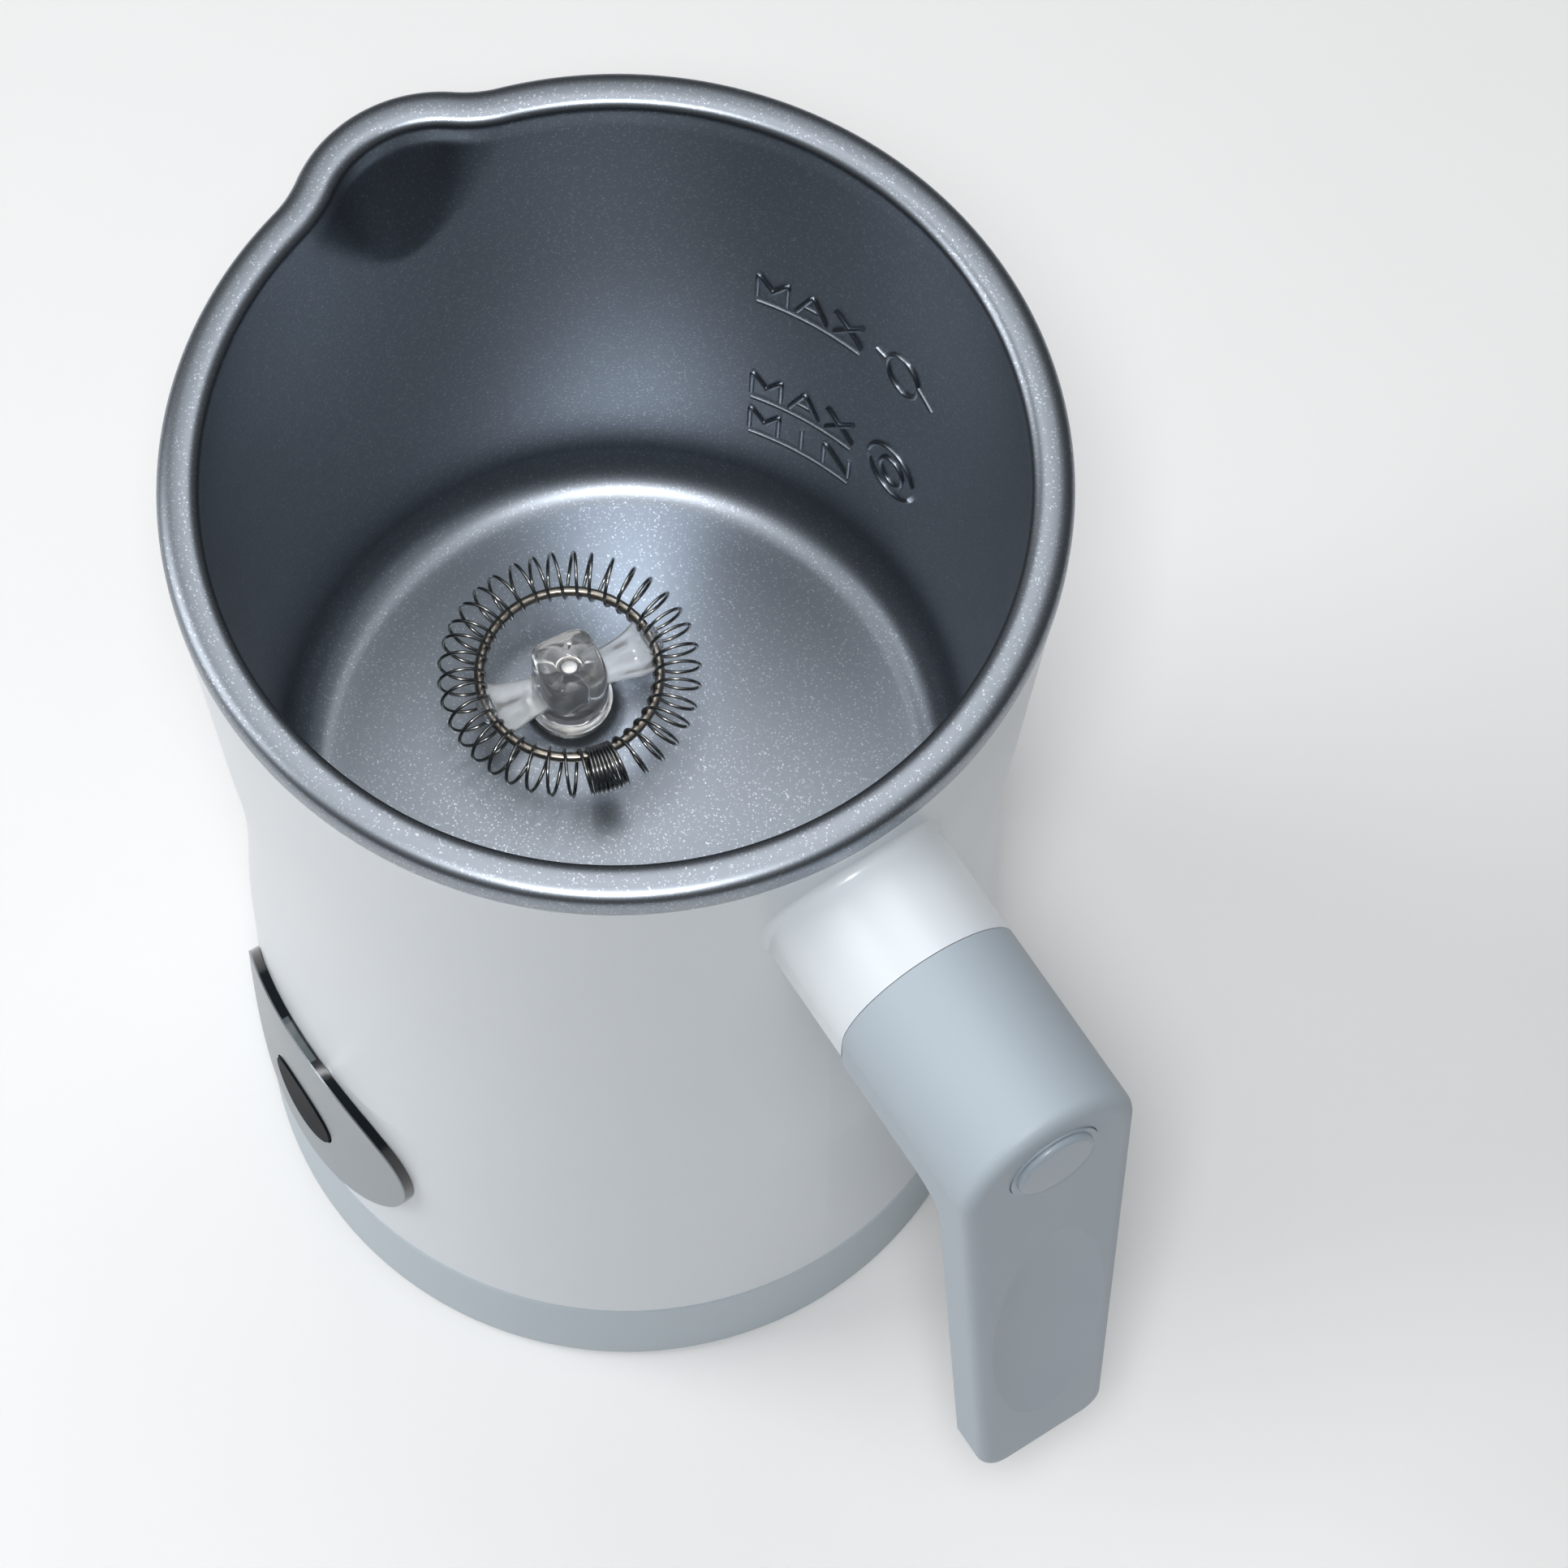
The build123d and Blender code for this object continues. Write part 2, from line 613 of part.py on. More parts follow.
with BuildPart() as motor_can:
    with BuildSketch(Plane.XY.offset(BRACKET_Z - MOTOR_H)):
        with Locations((WHISK_X, 0)):
            Circle(MOTOR_R)
    extrude(amount=MOTOR_H)
    fillet(motor_can.edges().group_by(Axis.Z)[0], 1.2)
    with BuildSketch(Plane.XY.offset(BRACKET_Z)):
        with Locations((WHISK_X, 0)):
            Circle(3.2)
    extrude(amount=MOTOR_NECK_H)
    with BuildSketch(Plane.XY.offset(BRACKET_Z + MOTOR_NECK_H)):
        with Locations((WHISK_X, 0)):
            Circle(1.2)
    extrude(amount=-12.0, mode=Mode.SUBTRACT)
    with BuildSketch(Plane.XY.offset(BRACKET_Z)):
        with Locations((WHISK_X, -MOTOR_SCREW_Y), (WHISK_X, MOTOR_SCREW_Y)):
            Circle(1.2)
    extrude(amount=-4.0, mode=Mode.SUBTRACT)

with BuildPart() as motor_screws:
    with BuildSketch(Plane.XY.offset(BRACKET_Z + BRACKET_T)):
        with Locations((WHISK_X, -MOTOR_SCREW_Y), (WHISK_X, MOTOR_SCREW_Y)):
            Circle(2.2)
    extrude(amount=1.3)
    with BuildSketch(Plane.XY.offset(BRACKET_Z + BRACKET_T)):
        with Locations((WHISK_X, -MOTOR_SCREW_Y), (WHISK_X, MOTOR_SCREW_Y)):
            Circle(1.15)
    extrude(amount=-6.0)

with BuildPart() as motor_shaft:
    with BuildSketch(Plane.XY.offset(SPINDLE_Z0)):
        with Locations((WHISK_X, 0)):
            Circle(SHAFT_R)
    extrude(amount=-14.5)

# The coupling joins the motor's shaft to the spindle
with BuildPart() as shaft_coupling:
    with BuildSketch(Plane.XY.offset(COUPLING_Z0)):
        with Locations((WHISK_X, 0)):
            Circle(COUPLING_R)
            Circle(SHAFT_R, mode=Mode.SUBTRACT)
    extrude(amount=COUPLING_L)
    with BuildSketch(Plane.XY.offset(SPINDLE_Z0)):
        with Locations((WHISK_X, 0)):
            Circle(SPINDLE_R)
    extrude(amount=COUPLING_L, mode=Mode.SUBTRACT)

SPINDLE_TOP_Z = CUP_FLOOR_Z + 9.6
BUSH_TOP_Z = CUP_FLOOR_Z + 1.0
BUSH_L = 6.0
SEAL_R = 3.0
SEAL_T = 1.6
RUN_GAP = 0.05

with BuildPart() as drive_spindle:
    with BuildSketch(Plane.XY.offset(SPINDLE_Z0)):
        with Locations((WHISK_X, 0)):
            Circle(SPINDLE_R)
    extrude(amount=SPINDLE_TOP_Z - SPINDLE_Z0)
    chamfer(drive_spindle.edges().group_by(Axis.Z)[-1], 0.4)
    # flats that turn the whisk
    with BuildSketch(Plane.XY.offset(CUP_FLOOR_Z + 4.0)):
        with Locations((WHISK_X - FLAT_X - 0.5, 0), (WHISK_X + FLAT_X + 0.5, 0)):
            Rectangle(1.0, 4.0)
    extrude(amount=8.0, mode=Mode.SUBTRACT)

with BuildPart() as spindle_bush:
    with BuildSketch(Plane.XY.offset(CUP_FLOOR_Z - BUSH_L)):
        with Locations((WHISK_X, 0)):
            Circle(BUSH_R)
    extrude(amount=BUSH_L)
    with BuildSketch(Plane.XY.offset(CUP_FLOOR_Z)):
        with Locations((WHISK_X, 0)):
            Circle(5.2)
    extrude(amount=BUSH_TOP_Z - CUP_FLOOR_Z)
    with BuildSketch(Plane.XY.offset(CUP_FLOOR_Z - BUSH_L)):
        with Locations((WHISK_X, 0)):
            Circle(SPINDLE_R + RUN_GAP)
    extrude(amount=BUSH_L + 1.0, mode=Mode.SUBTRACT)
    with BuildSketch(Plane.XY.offset(BUSH_TOP_Z - SEAL_T)):
        with Locations((WHISK_X, 0)):
            Circle(SEAL_R)
    extrude(amount=SEAL_T, mode=Mode.SUBTRACT)

with BuildPart() as spindle_seal:
    with BuildSketch(Plane.XY.offset(BUSH_TOP_Z - SEAL_T)):
        with Locations((WHISK_X, 0)):
            Circle(SEAL_R)
            Circle(SPINDLE_R + RUN_GAP, mode=Mode.SUBTRACT)
    extrude(amount=SEAL_T + 0.3)

with BuildPart() as bush_nut:
    with BuildSketch(Plane.XY.offset(CUP_FLOOR_Z - CUP_WALL)):
        with Locations((WHISK_X, 0)):
            RegularPolygon(6.5, 6)
            Circle(BUSH_R, mode=Mode.SUBTRACT)
    extrude(amount=-3.0)

HEATER_Z = CUP_FLOOR_Z - CUP_WALL
PLATE_H = 2.0
TUBE_R = 3.0
TUBE_RING_R = 29.4
TUBE_Z = HEATER_Z - PLATE_H - TUBE_R
COLD_PIN_TURN = 20
COLD_PIN_L = 14.0
SENSOR_H = 6.0
CUTOUT_H = 5.0

with BuildPart() as heater_plate:
    with BuildSketch(Plane.XY.offset(HEATER_Z)):
        Circle(34.8)
        Circle(22.0, mode=Mode.SUBTRACT)
    extrude(amount=-PLATE_H)

with BuildPart() as heater_element:
    with BuildSketch(Plane.XZ.rotated((0, 0, COLD_PIN_TURN))):
        with Locations((TUBE_RING_R, TUBE_Z)):
            Circle(TUBE_R)
    revolve(axis=Axis.Z, revolution_arc=360 - 2 * COLD_PIN_TURN)
    with BuildSketch(Plane.XY.offset(TUBE_Z)):
        for turn in (COLD_PIN_TURN, -COLD_PIN_TURN):
            with PolarLocations(TUBE_RING_R, 1, start_angle=turn):
                Circle(2.0)
    extrude(amount=-COLD_PIN_L)

with BuildPart() as temperature_sensor:
    with BuildSketch(Plane.XY.offset(HEATER_Z)):
        with Locations((9, 11)):
            Circle(3.0)
    extrude(amount=-SENSOR_H)
    with BuildSketch(Plane.XY.offset(HEATER_Z - SENSOR_H)):
        with Locations((9, 11)):
            Circle(4.0)
    extrude(amount=-1.5)

with BuildPart() as thermal_cutout:
    with BuildSketch(Plane.XY.offset(HEATER_Z)):
        with Locations((9, -11)):
            Circle(7.0)
    extrude(amount=-CUTOUT_H)
    with BuildSketch(Plane.XY.offset(HEATER_Z - CUTOUT_H)):
        with Locations((5.5, -11), (12.5, -11)):
            Rectangle(0.8, 5.0)
    extrude(amount=-5.0)

# ---------------------------------------------------------------- electronics
BOARD_T = 1.6
BOARD_TOP_Z = BOARD_Z + BOARD_T

with BuildPart() as control_board:
    with BuildSketch(Plane.XY.offset(BOARD_Z)):
        Circle(33.0)
        with PolarLocations(BOARD_POST_R, 4):
            Circle(1.5, mode=Mode.SUBTRACT)
    extrude(amount=BOARD_T)

with BuildPart() as board_screws:
    with BuildSketch(Plane.XY.offset(BOARD_TOP_Z)):
        with PolarLocations(BOARD_POST_R, 4):
            Circle(2.3)
    extrude(amount=1.2)
    with BuildSketch(Plane.XY.offset(BOARD_TOP_Z)):
        with PolarLocations(BOARD_POST_R, 4):
            Circle(1.05)
    extrude(amount=-7.0)

with BuildPart() as power_relay:
    with BuildSketch(Plane.XY.offset(BOARD_TOP_Z)):
        with Locations((12, 6)):
            Rectangle(10, 19)
    extrude(amount=15.0)
    fillet(power_relay.edges().group_by(Axis.Z)[-1], 0.6)

with BuildPart() as filter_capacitor:
    with BuildSketch(Plane.XY.offset(BOARD_TOP_Z)):
        with Locations((10, -14)):
            Circle(4.2)
    extrude(amount=14.0)
    fillet(filter_capacitor.edges().group_by(Axis.Z)[-1], 0.6)

with BuildPart() as microcontroller:
    with BuildSketch(Plane.XY.offset(BOARD_TOP_Z)):
        with Locations((-10, 20)):
            Rectangle(8, 8)
    extrude(amount=1.4)

with BuildPart() as heater_leads:
    with BuildSketch(Plane.XY.offset(BOARD_TOP_Z)):
        for turn in (COLD_PIN_TURN, -COLD_PIN_TURN):
            with PolarLocations(TUBE_RING_R, 1, start_angle=turn):
                Circle(0.9)
    extrude(amount=TUBE_Z - COLD_PIN_L - BOARD_TOP_Z)

# ---------------------------------------------------------------- control panel
FACE_T = 0.2
PANEL_TUBE_R = 12.6
BUTTON_CUP_Y = -PANEL_Y - 2.5
FACE_HOLE_R = BUTTON_R + 0.25
LENS_HALF_W = 3.4

with BuildPart() as indicator_lens:
    add(panel_layer(0.35, PANEL_PROUD - FACE_T, PANEL_R))
    with BuildSketch(Plane.XY.offset(PANEL_Z + PANEL_R - 1.6)):
        Rectangle(2 * LENS_HALF_W, 140)
    extrude(amount=4.0, mode=Mode.INTERSECT)

with BuildPart() as panel_bezel:
    add(panel_layer(0.05, PANEL_PROUD - FACE_T, PANEL_R))
    add(panel_layer(-6.0, 0.05, PANEL_OPENING_R - 0.2))
    add(indicator_lens.part, mode=Mode.SUBTRACT)
    with BuildSketch(PANEL_PLANE.offset(-PANEL_Y - 8.0)):
        Circle(PANEL_TUBE_R)
    extrude(amount=7.0, mode=Mode.SUBTRACT)
    with BuildSketch(BUTTON_PLANE.offset(-PANEL_Y - 8.0)):
        Circle(FACE_HOLE_R)
    extrude(amount=20.0, mode=Mode.SUBTRACT)

with BuildPart() as panel_face:
    add(panel_layer(PANEL_PROUD - FACE_T, PANEL_PROUD, PANEL_R))
    add(panel_layer(-1.0, PANEL_PROUD + 1.0, FACE_HOLE_R, BUTTON_PLANE), mode=Mode.SUBTRACT)

with BuildPart() as start_button:
    add(panel_layer(PANEL_PROUD - 3.6, PANEL_PROUD + 0.3, BUTTON_R, BUTTON_PLANE))
    # flange that keeps the button in, and the foot that takes its stem
    with BuildSketch(BUTTON_PLANE.offset(BUTTON_CUP_Y)):
        Circle(BUTTON_R + 1.6)
    extrude(amount=1.0)
    with BuildSketch(BUTTON_PLANE.offset(BUTTON_CUP_Y)):
        Circle(2.0)
    extrude(amount=-2.0)

SWITCH_Y = -PANEL_Y - 9.5
SWITCH_H = 3.4
STEM_Y = SWITCH_Y + SWITCH_H + BUTTON_TRAVEL

with BuildPart() as switch_board:
    with BuildSketch(BUTTON_PLANE.offset(SWITCH_Y)):
        Rectangle(22, 20)
    extrude(amount=-1.6)

with BuildPart() as tact_switch:
    with BuildSketch(BUTTON_PLANE.offset(SWITCH_Y)):
        Rectangle(6, 6)
    extrude(amount=SWITCH_H)

with BuildPart() as button_stem:
    with BuildSketch(BUTTON_PLANE.offset(STEM_Y)):
        Circle(1.5)
    extrude(amount=BUTTON_CUP_Y - 2.0 - STEM_Y)

# ---------------------------------------------------------------- handle
lean = math.radians(STRAP_LEAN)
STRAP_PLANE = Plane(
    origin=(CAP_X, 0, CAP_Z), x_dir=(0, 1, 0), z_dir=(math.cos(lean), 0, math.sin(lean))
)


def strap_x(z):
    """Where the strap's outer face stands at a height."""
    return CAP_X + (CAP_Z - z) * math.tan(lean)


with BuildPart() as handle:
    # side view: arm and strap in one L with a rounded inner corner
    with BuildSketch(Plane.XZ) as side_view:
        with BuildLine():
            Polyline(
                (STUB_X, ARM_TOP_Z),
                (strap_x(ARM_TOP_Z), ARM_TOP_Z),
                (strap_x(STRAP_BOTTOM_Z), STRAP_BOTTOM_Z),
                (strap_x(STRAP_BOTTOM_Z) - STRAP_T, STRAP_BOTTOM_Z),
                (strap_x(ARM_BOTTOM_Z) - STRAP_T, ARM_BOTTOM_Z),
                (STUB_X, ARM_BOTTOM_Z),
                close=True,
            )
        make_face()
        corner = side_view.vertices().sort_by_distance(
            (strap_x(ARM_BOTTOM_Z) - STRAP_T, ARM_BOTTOM_Z)
        )[0]
        fillet(corner, 5.0)
    extrude(amount=20, both=True)
    # front view: an arch-topped plate that narrows downwards
    with BuildSketch(Plane.YZ) as front_view:
        with BuildLine():
            Line((-ARM_HALF_W, ARCH_Z), (-STRAP_BOTTOM_HALF_W, STRAP_BOTTOM_Z))
            Line((-STRAP_BOTTOM_HALF_W, STRAP_BOTTOM_Z), (STRAP_BOTTOM_HALF_W, STRAP_BOTTOM_Z))
            Line((STRAP_BOTTOM_HALF_W, STRAP_BOTTOM_Z), (ARM_HALF_W, ARCH_Z))
            ThreePointArc((ARM_HALF_W, ARCH_Z), (0, ARM_TOP_Z), (-ARM_HALF_W, ARCH_Z))
        make_face()
        fillet(front_view.vertices().group_by(Axis.Y)[0], 3.5)
    extrude(amount=120, mode=Mode.INTERSECT)
    flat_faces = handle.faces().filter_by(
        lambda face: abs(face.normal_at().dot(STRAP_PLANE.z_dir)) > 0.999
    )
    fillet(flat_faces.sort_by(Axis.X)[-1].edges(), 1.8)
    # shallow dish for the thumb, a spindle-shaped cut along the strap
    dish_plane = Plane(
        origin=STRAP_PLANE.from_local_coords((0, DISH_Y, DISH_AXIS)),
        x_dir=STRAP_PLANE.y_dir,
        z_dir=STRAP_PLANE.x_dir,
    )
    with BuildSketch(dish_plane):
        with BuildLine():
            Line((-DISH_HALF_L, 0), (-DISH_HALF_L, DISH_AXIS))
            ThreePointArc(
                (-DISH_HALF_L, DISH_AXIS), (0, DISH_AXIS + DISH_DEPTH), (DISH_HALF_L, DISH_AXIS)
            )
            Line((DISH_HALF_L, DISH_AXIS), (DISH_HALF_L, 0))
            Line((DISH_HALF_L, 0), (-DISH_HALF_L, 0))
        make_face()
    revolve(axis=Axis(dish_plane.origin, dish_plane.x_dir), mode=Mode.SUBTRACT)
    # seat of the screw cap in the outer face
    with BuildSketch(STRAP_PLANE):
        Circle(CAP_R + 0.1)
    extrude(amount=-CAP_DEPTH, mode=Mode.SUBTRACT)
    # spigot that enters the jug's stub
    with BuildSketch(Plane.YZ.offset(STUB_X)):
        with Locations((0, CAP_Z)):
            RectangleRounded(SPIGOT_W, SPIGOT_H, 1.8)
    extrude(amount=-SPIGOT_L)
    # passage for the screw and its head
    with BuildSketch(Plane.YZ.offset(STUB_X - 10)):
        with Locations((0, CAP_Z)):
            Circle(HANDLE_SCREW_R + 0.15)
    extrude(amount=30, mode=Mode.SUBTRACT)
    with BuildSketch(Plane.YZ.offset(HEAD_X)):
        with Locations((0, CAP_Z)):
            Circle(HANDLE_HEAD_R + 0.3)
    extrude(amount=20, mode=Mode.SUBTRACT)

with BuildPart() as handle_screw:
    with BuildSketch(Plane.YZ.offset(HEAD_X)):
        with Locations((0, CAP_Z)):
            Circle(HANDLE_HEAD_R)
    extrude(amount=HANDLE_HEAD_T)
    with BuildSketch(Plane.YZ.offset(HEAD_X + HANDLE_HEAD_T)):
        with Locations((0, CAP_Z)):
            Rectangle(4.4, 0.9)
            Rectangle(0.9, 4.4)
    extrude(amount=-1.4, mode=Mode.SUBTRACT)
    with BuildSketch(Plane.YZ.offset(HEAD_X)):
        with Locations((0, CAP_Z)):
            Circle(HANDLE_SCREW_R)
    extrude(amount=INSERT_X - HEAD_X)

with BuildPart() as stub_insert:
    with BuildSketch(Plane.YZ.offset(INSERT_X)):
        with Locations((0, CAP_Z)):
            Circle(INSERT_R)
            Circle(HANDLE_SCREW_R, mode=Mode.SUBTRACT)
    extrude(amount=INSERT_L)

with BuildPart() as handle_cap:
    with BuildSketch(STRAP_PLANE.offset(-CAP_DEPTH)):
        Circle(CAP_R)
    extrude(amount=CAP_DEPTH + CAP_STEP)
    with BuildSketch(STRAP_PLANE.offset(CAP_STEP)):
        Circle(CAP_R - 0.7)
    extrude(amount=0.7)
    outward = Axis(STRAP_PLANE.origin, STRAP_PLANE.z_dir)
    fillet(handle_cap.faces().sort_by(outward)[-1].edges(), 0.6)

# ---------------------------------------------------------------- whisk
ARM_Z = RING_Z - 1.6
ARM_T = 1.2
ARM_REACH = 9.2
ARM_TURN = 82
HUB_R = 4.8
HUB_Z = BUSH_TOP_Z + 0.6
BOSS_Z = BUSH_TOP_Z + 5.6
HUB_TOP_Z = BUSH_TOP_Z + 11.0
BOSS_W = 6.6
ROUND_TOP_Z = CUP_FLOOR_Z + 4.2
DRIVE_GAP = 0.06

with BuildPart() as whisk_ring:
    with BuildSketch(Plane.XZ):
        with Locations((WHISK_X + RING_R, RING_Z)):
            Circle(RING_WIRE_R)
    revolve(axis=Axis((WHISK_X, 0, 0), (0, 0, 1)))

with BuildPart() as whisk_spring:
    with BuildSketch(Plane.XZ):
        with Locations((WHISK_X + COIL_R, RING_Z)):
            Circle(COIL_OUTER)
            Circle(COIL_INNER, mode=Mode.SUBTRACT)
    revolve(axis=Axis((WHISK_X, 0, 0), (0, 0, 1)))

with BuildPart() as whisk_hub:
    with BuildSketch(Plane.XY.offset(HUB_Z)):
        with Locations((WHISK_X, 0)):
            Circle(HUB_R)
    extrude(amount=BOSS_Z - HUB_Z)
    with BuildSketch(Plane.XY.offset(BOSS_Z)):
        with Locations((WHISK_X, 0)):
            RectangleRounded(BOSS_W, BOSS_W, 2.0, rotation=ARM_TURN)
    extrude(amount=HUB_TOP_Z - BOSS_Z)
    fillet(whisk_hub.edges().group_by(Axis.Z)[-1], 0.5)
    # two fan-shaped arms out to the ring
    for turn in (ARM_TURN, ARM_TURN + 180):
        with BuildSketch(Plane.XY.offset(ARM_Z - ARM_T)):
            with Locations(Location((WHISK_X, 0), turn)):
                Polygon((0, -2.6), (ARM_REACH, -3.6), (ARM_REACH, 3.6), (0, 2.6), align=None)
        extrude(amount=ARM_T)
    # socket: round below, with flats that match the spindle's above
    with BuildSketch(Plane.XY.offset(HUB_Z)):
        with Locations((WHISK_X, 0)):
            Circle(SPINDLE_R + DRIVE_GAP)
    extrude(amount=ROUND_TOP_Z - HUB_Z, mode=Mode.SUBTRACT)
    with BuildSketch(Plane.XY.offset(ROUND_TOP_Z)):
        with Locations((WHISK_X, 0)):
            Circle(SPINDLE_R + DRIVE_GAP)
            Rectangle(2 * (FLAT_X + DRIVE_GAP), 4.0, mode=Mode.INTERSECT)
    extrude(amount=SPINDLE_TOP_Z - ROUND_TOP_Z, mode=Mode.SUBTRACT)
    # recess in the top of the boss
    with BuildSketch(Plane.XY.offset(HUB_TOP_Z)):
        with Locations((WHISK_X, 0)):
            Circle(1.9)
    extrude(amount=-1.0, mode=Mode.SUBTRACT)

for name, piece in [
    ("base_housing", base_housing),
    ("base_plate", base_plate),
    ("foot_ring", foot_ring),
    ("base_screws", base_screws),
    ("base_connector", base_connector),
    ("base_contacts", base_contacts),
    ("cord_gland", cord_gland),
    ("outer_shell", outer_shell),
    ("inner_cup", inner_cup),
    ("rim_seal", rim_seal),
    ("bottom_cover", bottom_cover),
    ("jug_connector", jug_connector),
    ("jug_contacts", jug_contacts),
    ("jug_screws", jug_screws),
    ("motor_bracket", motor_bracket),
    ("motor_can", motor_can),
    ("motor_screws", motor_screws),
    ("motor_shaft", motor_shaft),
    ("shaft_coupling", shaft_coupling),
    ("drive_spindle", drive_spindle),
    ("spindle_bush", spindle_bush),
    ("spindle_seal", spindle_seal),
    ("bush_nut", bush_nut),
    ("heater_plate", heater_plate),
    ("heater_element", heater_element),
    ("temperature_sensor", temperature_sensor),
    ("thermal_cutout", thermal_cutout),
    ("control_board", control_board),
    ("board_screws", board_screws),
    ("power_relay", power_relay),
    ("filter_capacitor", filter_capacitor),
    ("microcontroller", microcontroller),
    ("indicator_lens", indicator_lens),
    ("panel_bezel", panel_bezel),
    ("panel_face", panel_face),
    ("start_button", start_button),
    ("switch_board", switch_board),
    ("tact_switch", tact_switch),
    ("button_stem", button_stem),
    ("handle", handle),
    ("handle_screw", handle_screw),
    ("stub_insert", stub_insert),
    ("handle_cap", handle_cap),
    ("whisk_hub", whisk_hub),
    ("whisk_ring", whisk_ring),
    ("whisk_spring", whisk_spring),
    ("heater_leads", heater_leads),
]:
    piece.part.label = name
    export_step(piece.part, f"parts/{name}.step")
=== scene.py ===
import json
import math

import bpy
from mathutils import Matrix, Vector


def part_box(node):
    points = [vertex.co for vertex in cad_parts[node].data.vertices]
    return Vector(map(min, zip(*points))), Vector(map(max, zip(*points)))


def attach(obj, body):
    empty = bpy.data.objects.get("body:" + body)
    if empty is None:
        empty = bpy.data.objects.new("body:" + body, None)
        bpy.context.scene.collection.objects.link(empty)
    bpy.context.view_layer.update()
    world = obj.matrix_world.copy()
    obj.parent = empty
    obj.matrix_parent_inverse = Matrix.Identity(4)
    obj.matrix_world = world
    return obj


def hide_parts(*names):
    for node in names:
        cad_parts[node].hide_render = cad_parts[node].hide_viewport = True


# The looks of a jug milk frother, built around its CAD frame. Lengths are metres, angles of the
# plan view are degrees from +X, and the frame has the handle towards +X, the control panel
# towards -Y and the spout towards -X. Sizes in the shape functions are written in millimetres
# times MM.

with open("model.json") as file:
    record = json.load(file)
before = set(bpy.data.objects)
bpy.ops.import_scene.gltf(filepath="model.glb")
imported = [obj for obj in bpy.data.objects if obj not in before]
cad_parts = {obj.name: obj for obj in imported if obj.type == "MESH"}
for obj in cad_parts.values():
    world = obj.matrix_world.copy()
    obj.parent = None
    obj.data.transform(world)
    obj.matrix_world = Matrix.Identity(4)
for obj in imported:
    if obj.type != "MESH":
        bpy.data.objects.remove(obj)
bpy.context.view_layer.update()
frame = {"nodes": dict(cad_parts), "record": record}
nodes = frame["nodes"]

MM = 0.001
CUP_LOW, CUP_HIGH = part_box("inner_cup")
HUB_LOW, HUB_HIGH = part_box("whisk_hub")
COIL_LOW, COIL_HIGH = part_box("whisk_spring")

# Cup: round rim with a spout, tapered wall and flat floor
RIM_R = CUP_HIGH.x
RIM_TOP = CUP_HIGH.z
RIM_W = 4.7 * MM
RIM_BEAD = RIM_W / 2
RIM_CROWN = 1.9 * MM
RIM_TILT = 0.12 * MM
RIM_UNDER = RIM_TOP - 4.2 * MM
SPOUT_R = 17 * MM
SPOUT_REACH = -CUP_LOW.x - SPOUT_R
SPOUT_BLEND = 14 * MM
SPOUT_TILT = math.tan(math.radians(14))
CUP_WALL = 1.2 * MM
RIM_EDGE_R = 0.9 * MM
SPINDLE_HOLE_R = 4.0 * MM
RIM_POWER = 0.7
FLOOR_Z = CUP_LOW.z + CUP_WALL
FLOOR_R = 41.3 * MM
FLOOR_FILLET = 6 * MM
MOUTH_R = RIM_R - RIM_W
TAPER = (MOUTH_R - FLOOR_R) / (RIM_UNDER - FLOOR_Z)

# Whisk
WHISK_X = (COIL_LOW.x + COIL_HIGH.x) / 2
RING_Z = (COIL_LOW.z + COIL_HIGH.z) / 2
RING_R = 11.0 * MM
RING_WIRE = 0.62 * MM
COIL_R = 13.1 * MM
COIL_WIRE = 0.22 * MM
COIL_TURN_R = COIL_HIGH.x - WHISK_X - COIL_R - COIL_WIRE
ARM_TURN = 82.0


# ------------------------------------------------------------------ mesh helpers
def mesh_piece(name, verts, faces, body, material):
    """A smooth mesh that rides on a CAD body and takes the material it is given."""
    mesh = bpy.data.meshes.new(name)
    mesh.from_pydata(verts, [], faces)
    mesh.validate()
    mesh.polygons.foreach_set("use_smooth", [True] * len(mesh.polygons))
    mesh.materials.append(material)
    piece = bpy.data.objects.new(name, mesh)
    bpy.context.scene.collection.objects.link(piece)
    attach(piece, body)
    return piece


def skin(rows, closed=False, caps=False):
    """Vertices and faces of a skin over rows, each a closed loop with the same number of points."""
    count = len(rows[0])
    verts = [point for row in rows for point in row]
    faces = []
    for i in range(len(rows) if closed else len(rows) - 1):
        a = i * count
        b = (i + 1) % len(rows) * count
        for j in range(count):
            k = (j + 1) % count
            faces.append((a + j, a + k, b + k, b + j))
    if caps:
        faces.append(tuple(reversed(range(count))))
        faces.append(tuple(range(len(verts) - count, len(verts))))
    return verts, faces


def wire_piece(name, paths, radius, cyclic, body, material, sides=2):
    """A round wire along each path of points."""
    curve = bpy.data.curves.new(name, "CURVE")
    curve.dimensions = "3D"
    curve.bevel_depth = radius
    curve.bevel_resolution = sides
    curve.use_fill_caps = True
    for path in paths:
        spline = curve.splines.new("POLY")
        spline.points.add(len(path) - 1)
        for point, place in zip(spline.points, path):
            point.co = (*place, 1.0)
        spline.use_cyclic_u = cyclic
    curve.materials.append(material)
    piece = bpy.data.objects.new(name, curve)
    bpy.context.scene.collection.objects.link(piece)
    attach(piece, body)
    return piece


def spread(low, high, count):
    """Evenly spaced numbers from low to high, both included."""
    return [low + (high - low) * i / (count - 1) for i in range(count)]


# ------------------------------------------------------------------ material helpers
def new_material(name, color, roughness, **inputs):
    """A Principled material; returns it with its node tree and shader."""
    material = bpy.data.materials.new(name)
    material.use_nodes = True
    tree = material.node_tree
    shader = tree.nodes["Principled BSDF"]
    shader.inputs["Base Color"].default_value = (*color, 1.0)
    shader.inputs["Roughness"].default_value = roughness
    for key, value in inputs.items():
        shader.inputs[key.replace("_", " ")].default_value = value
    return material, tree, shader


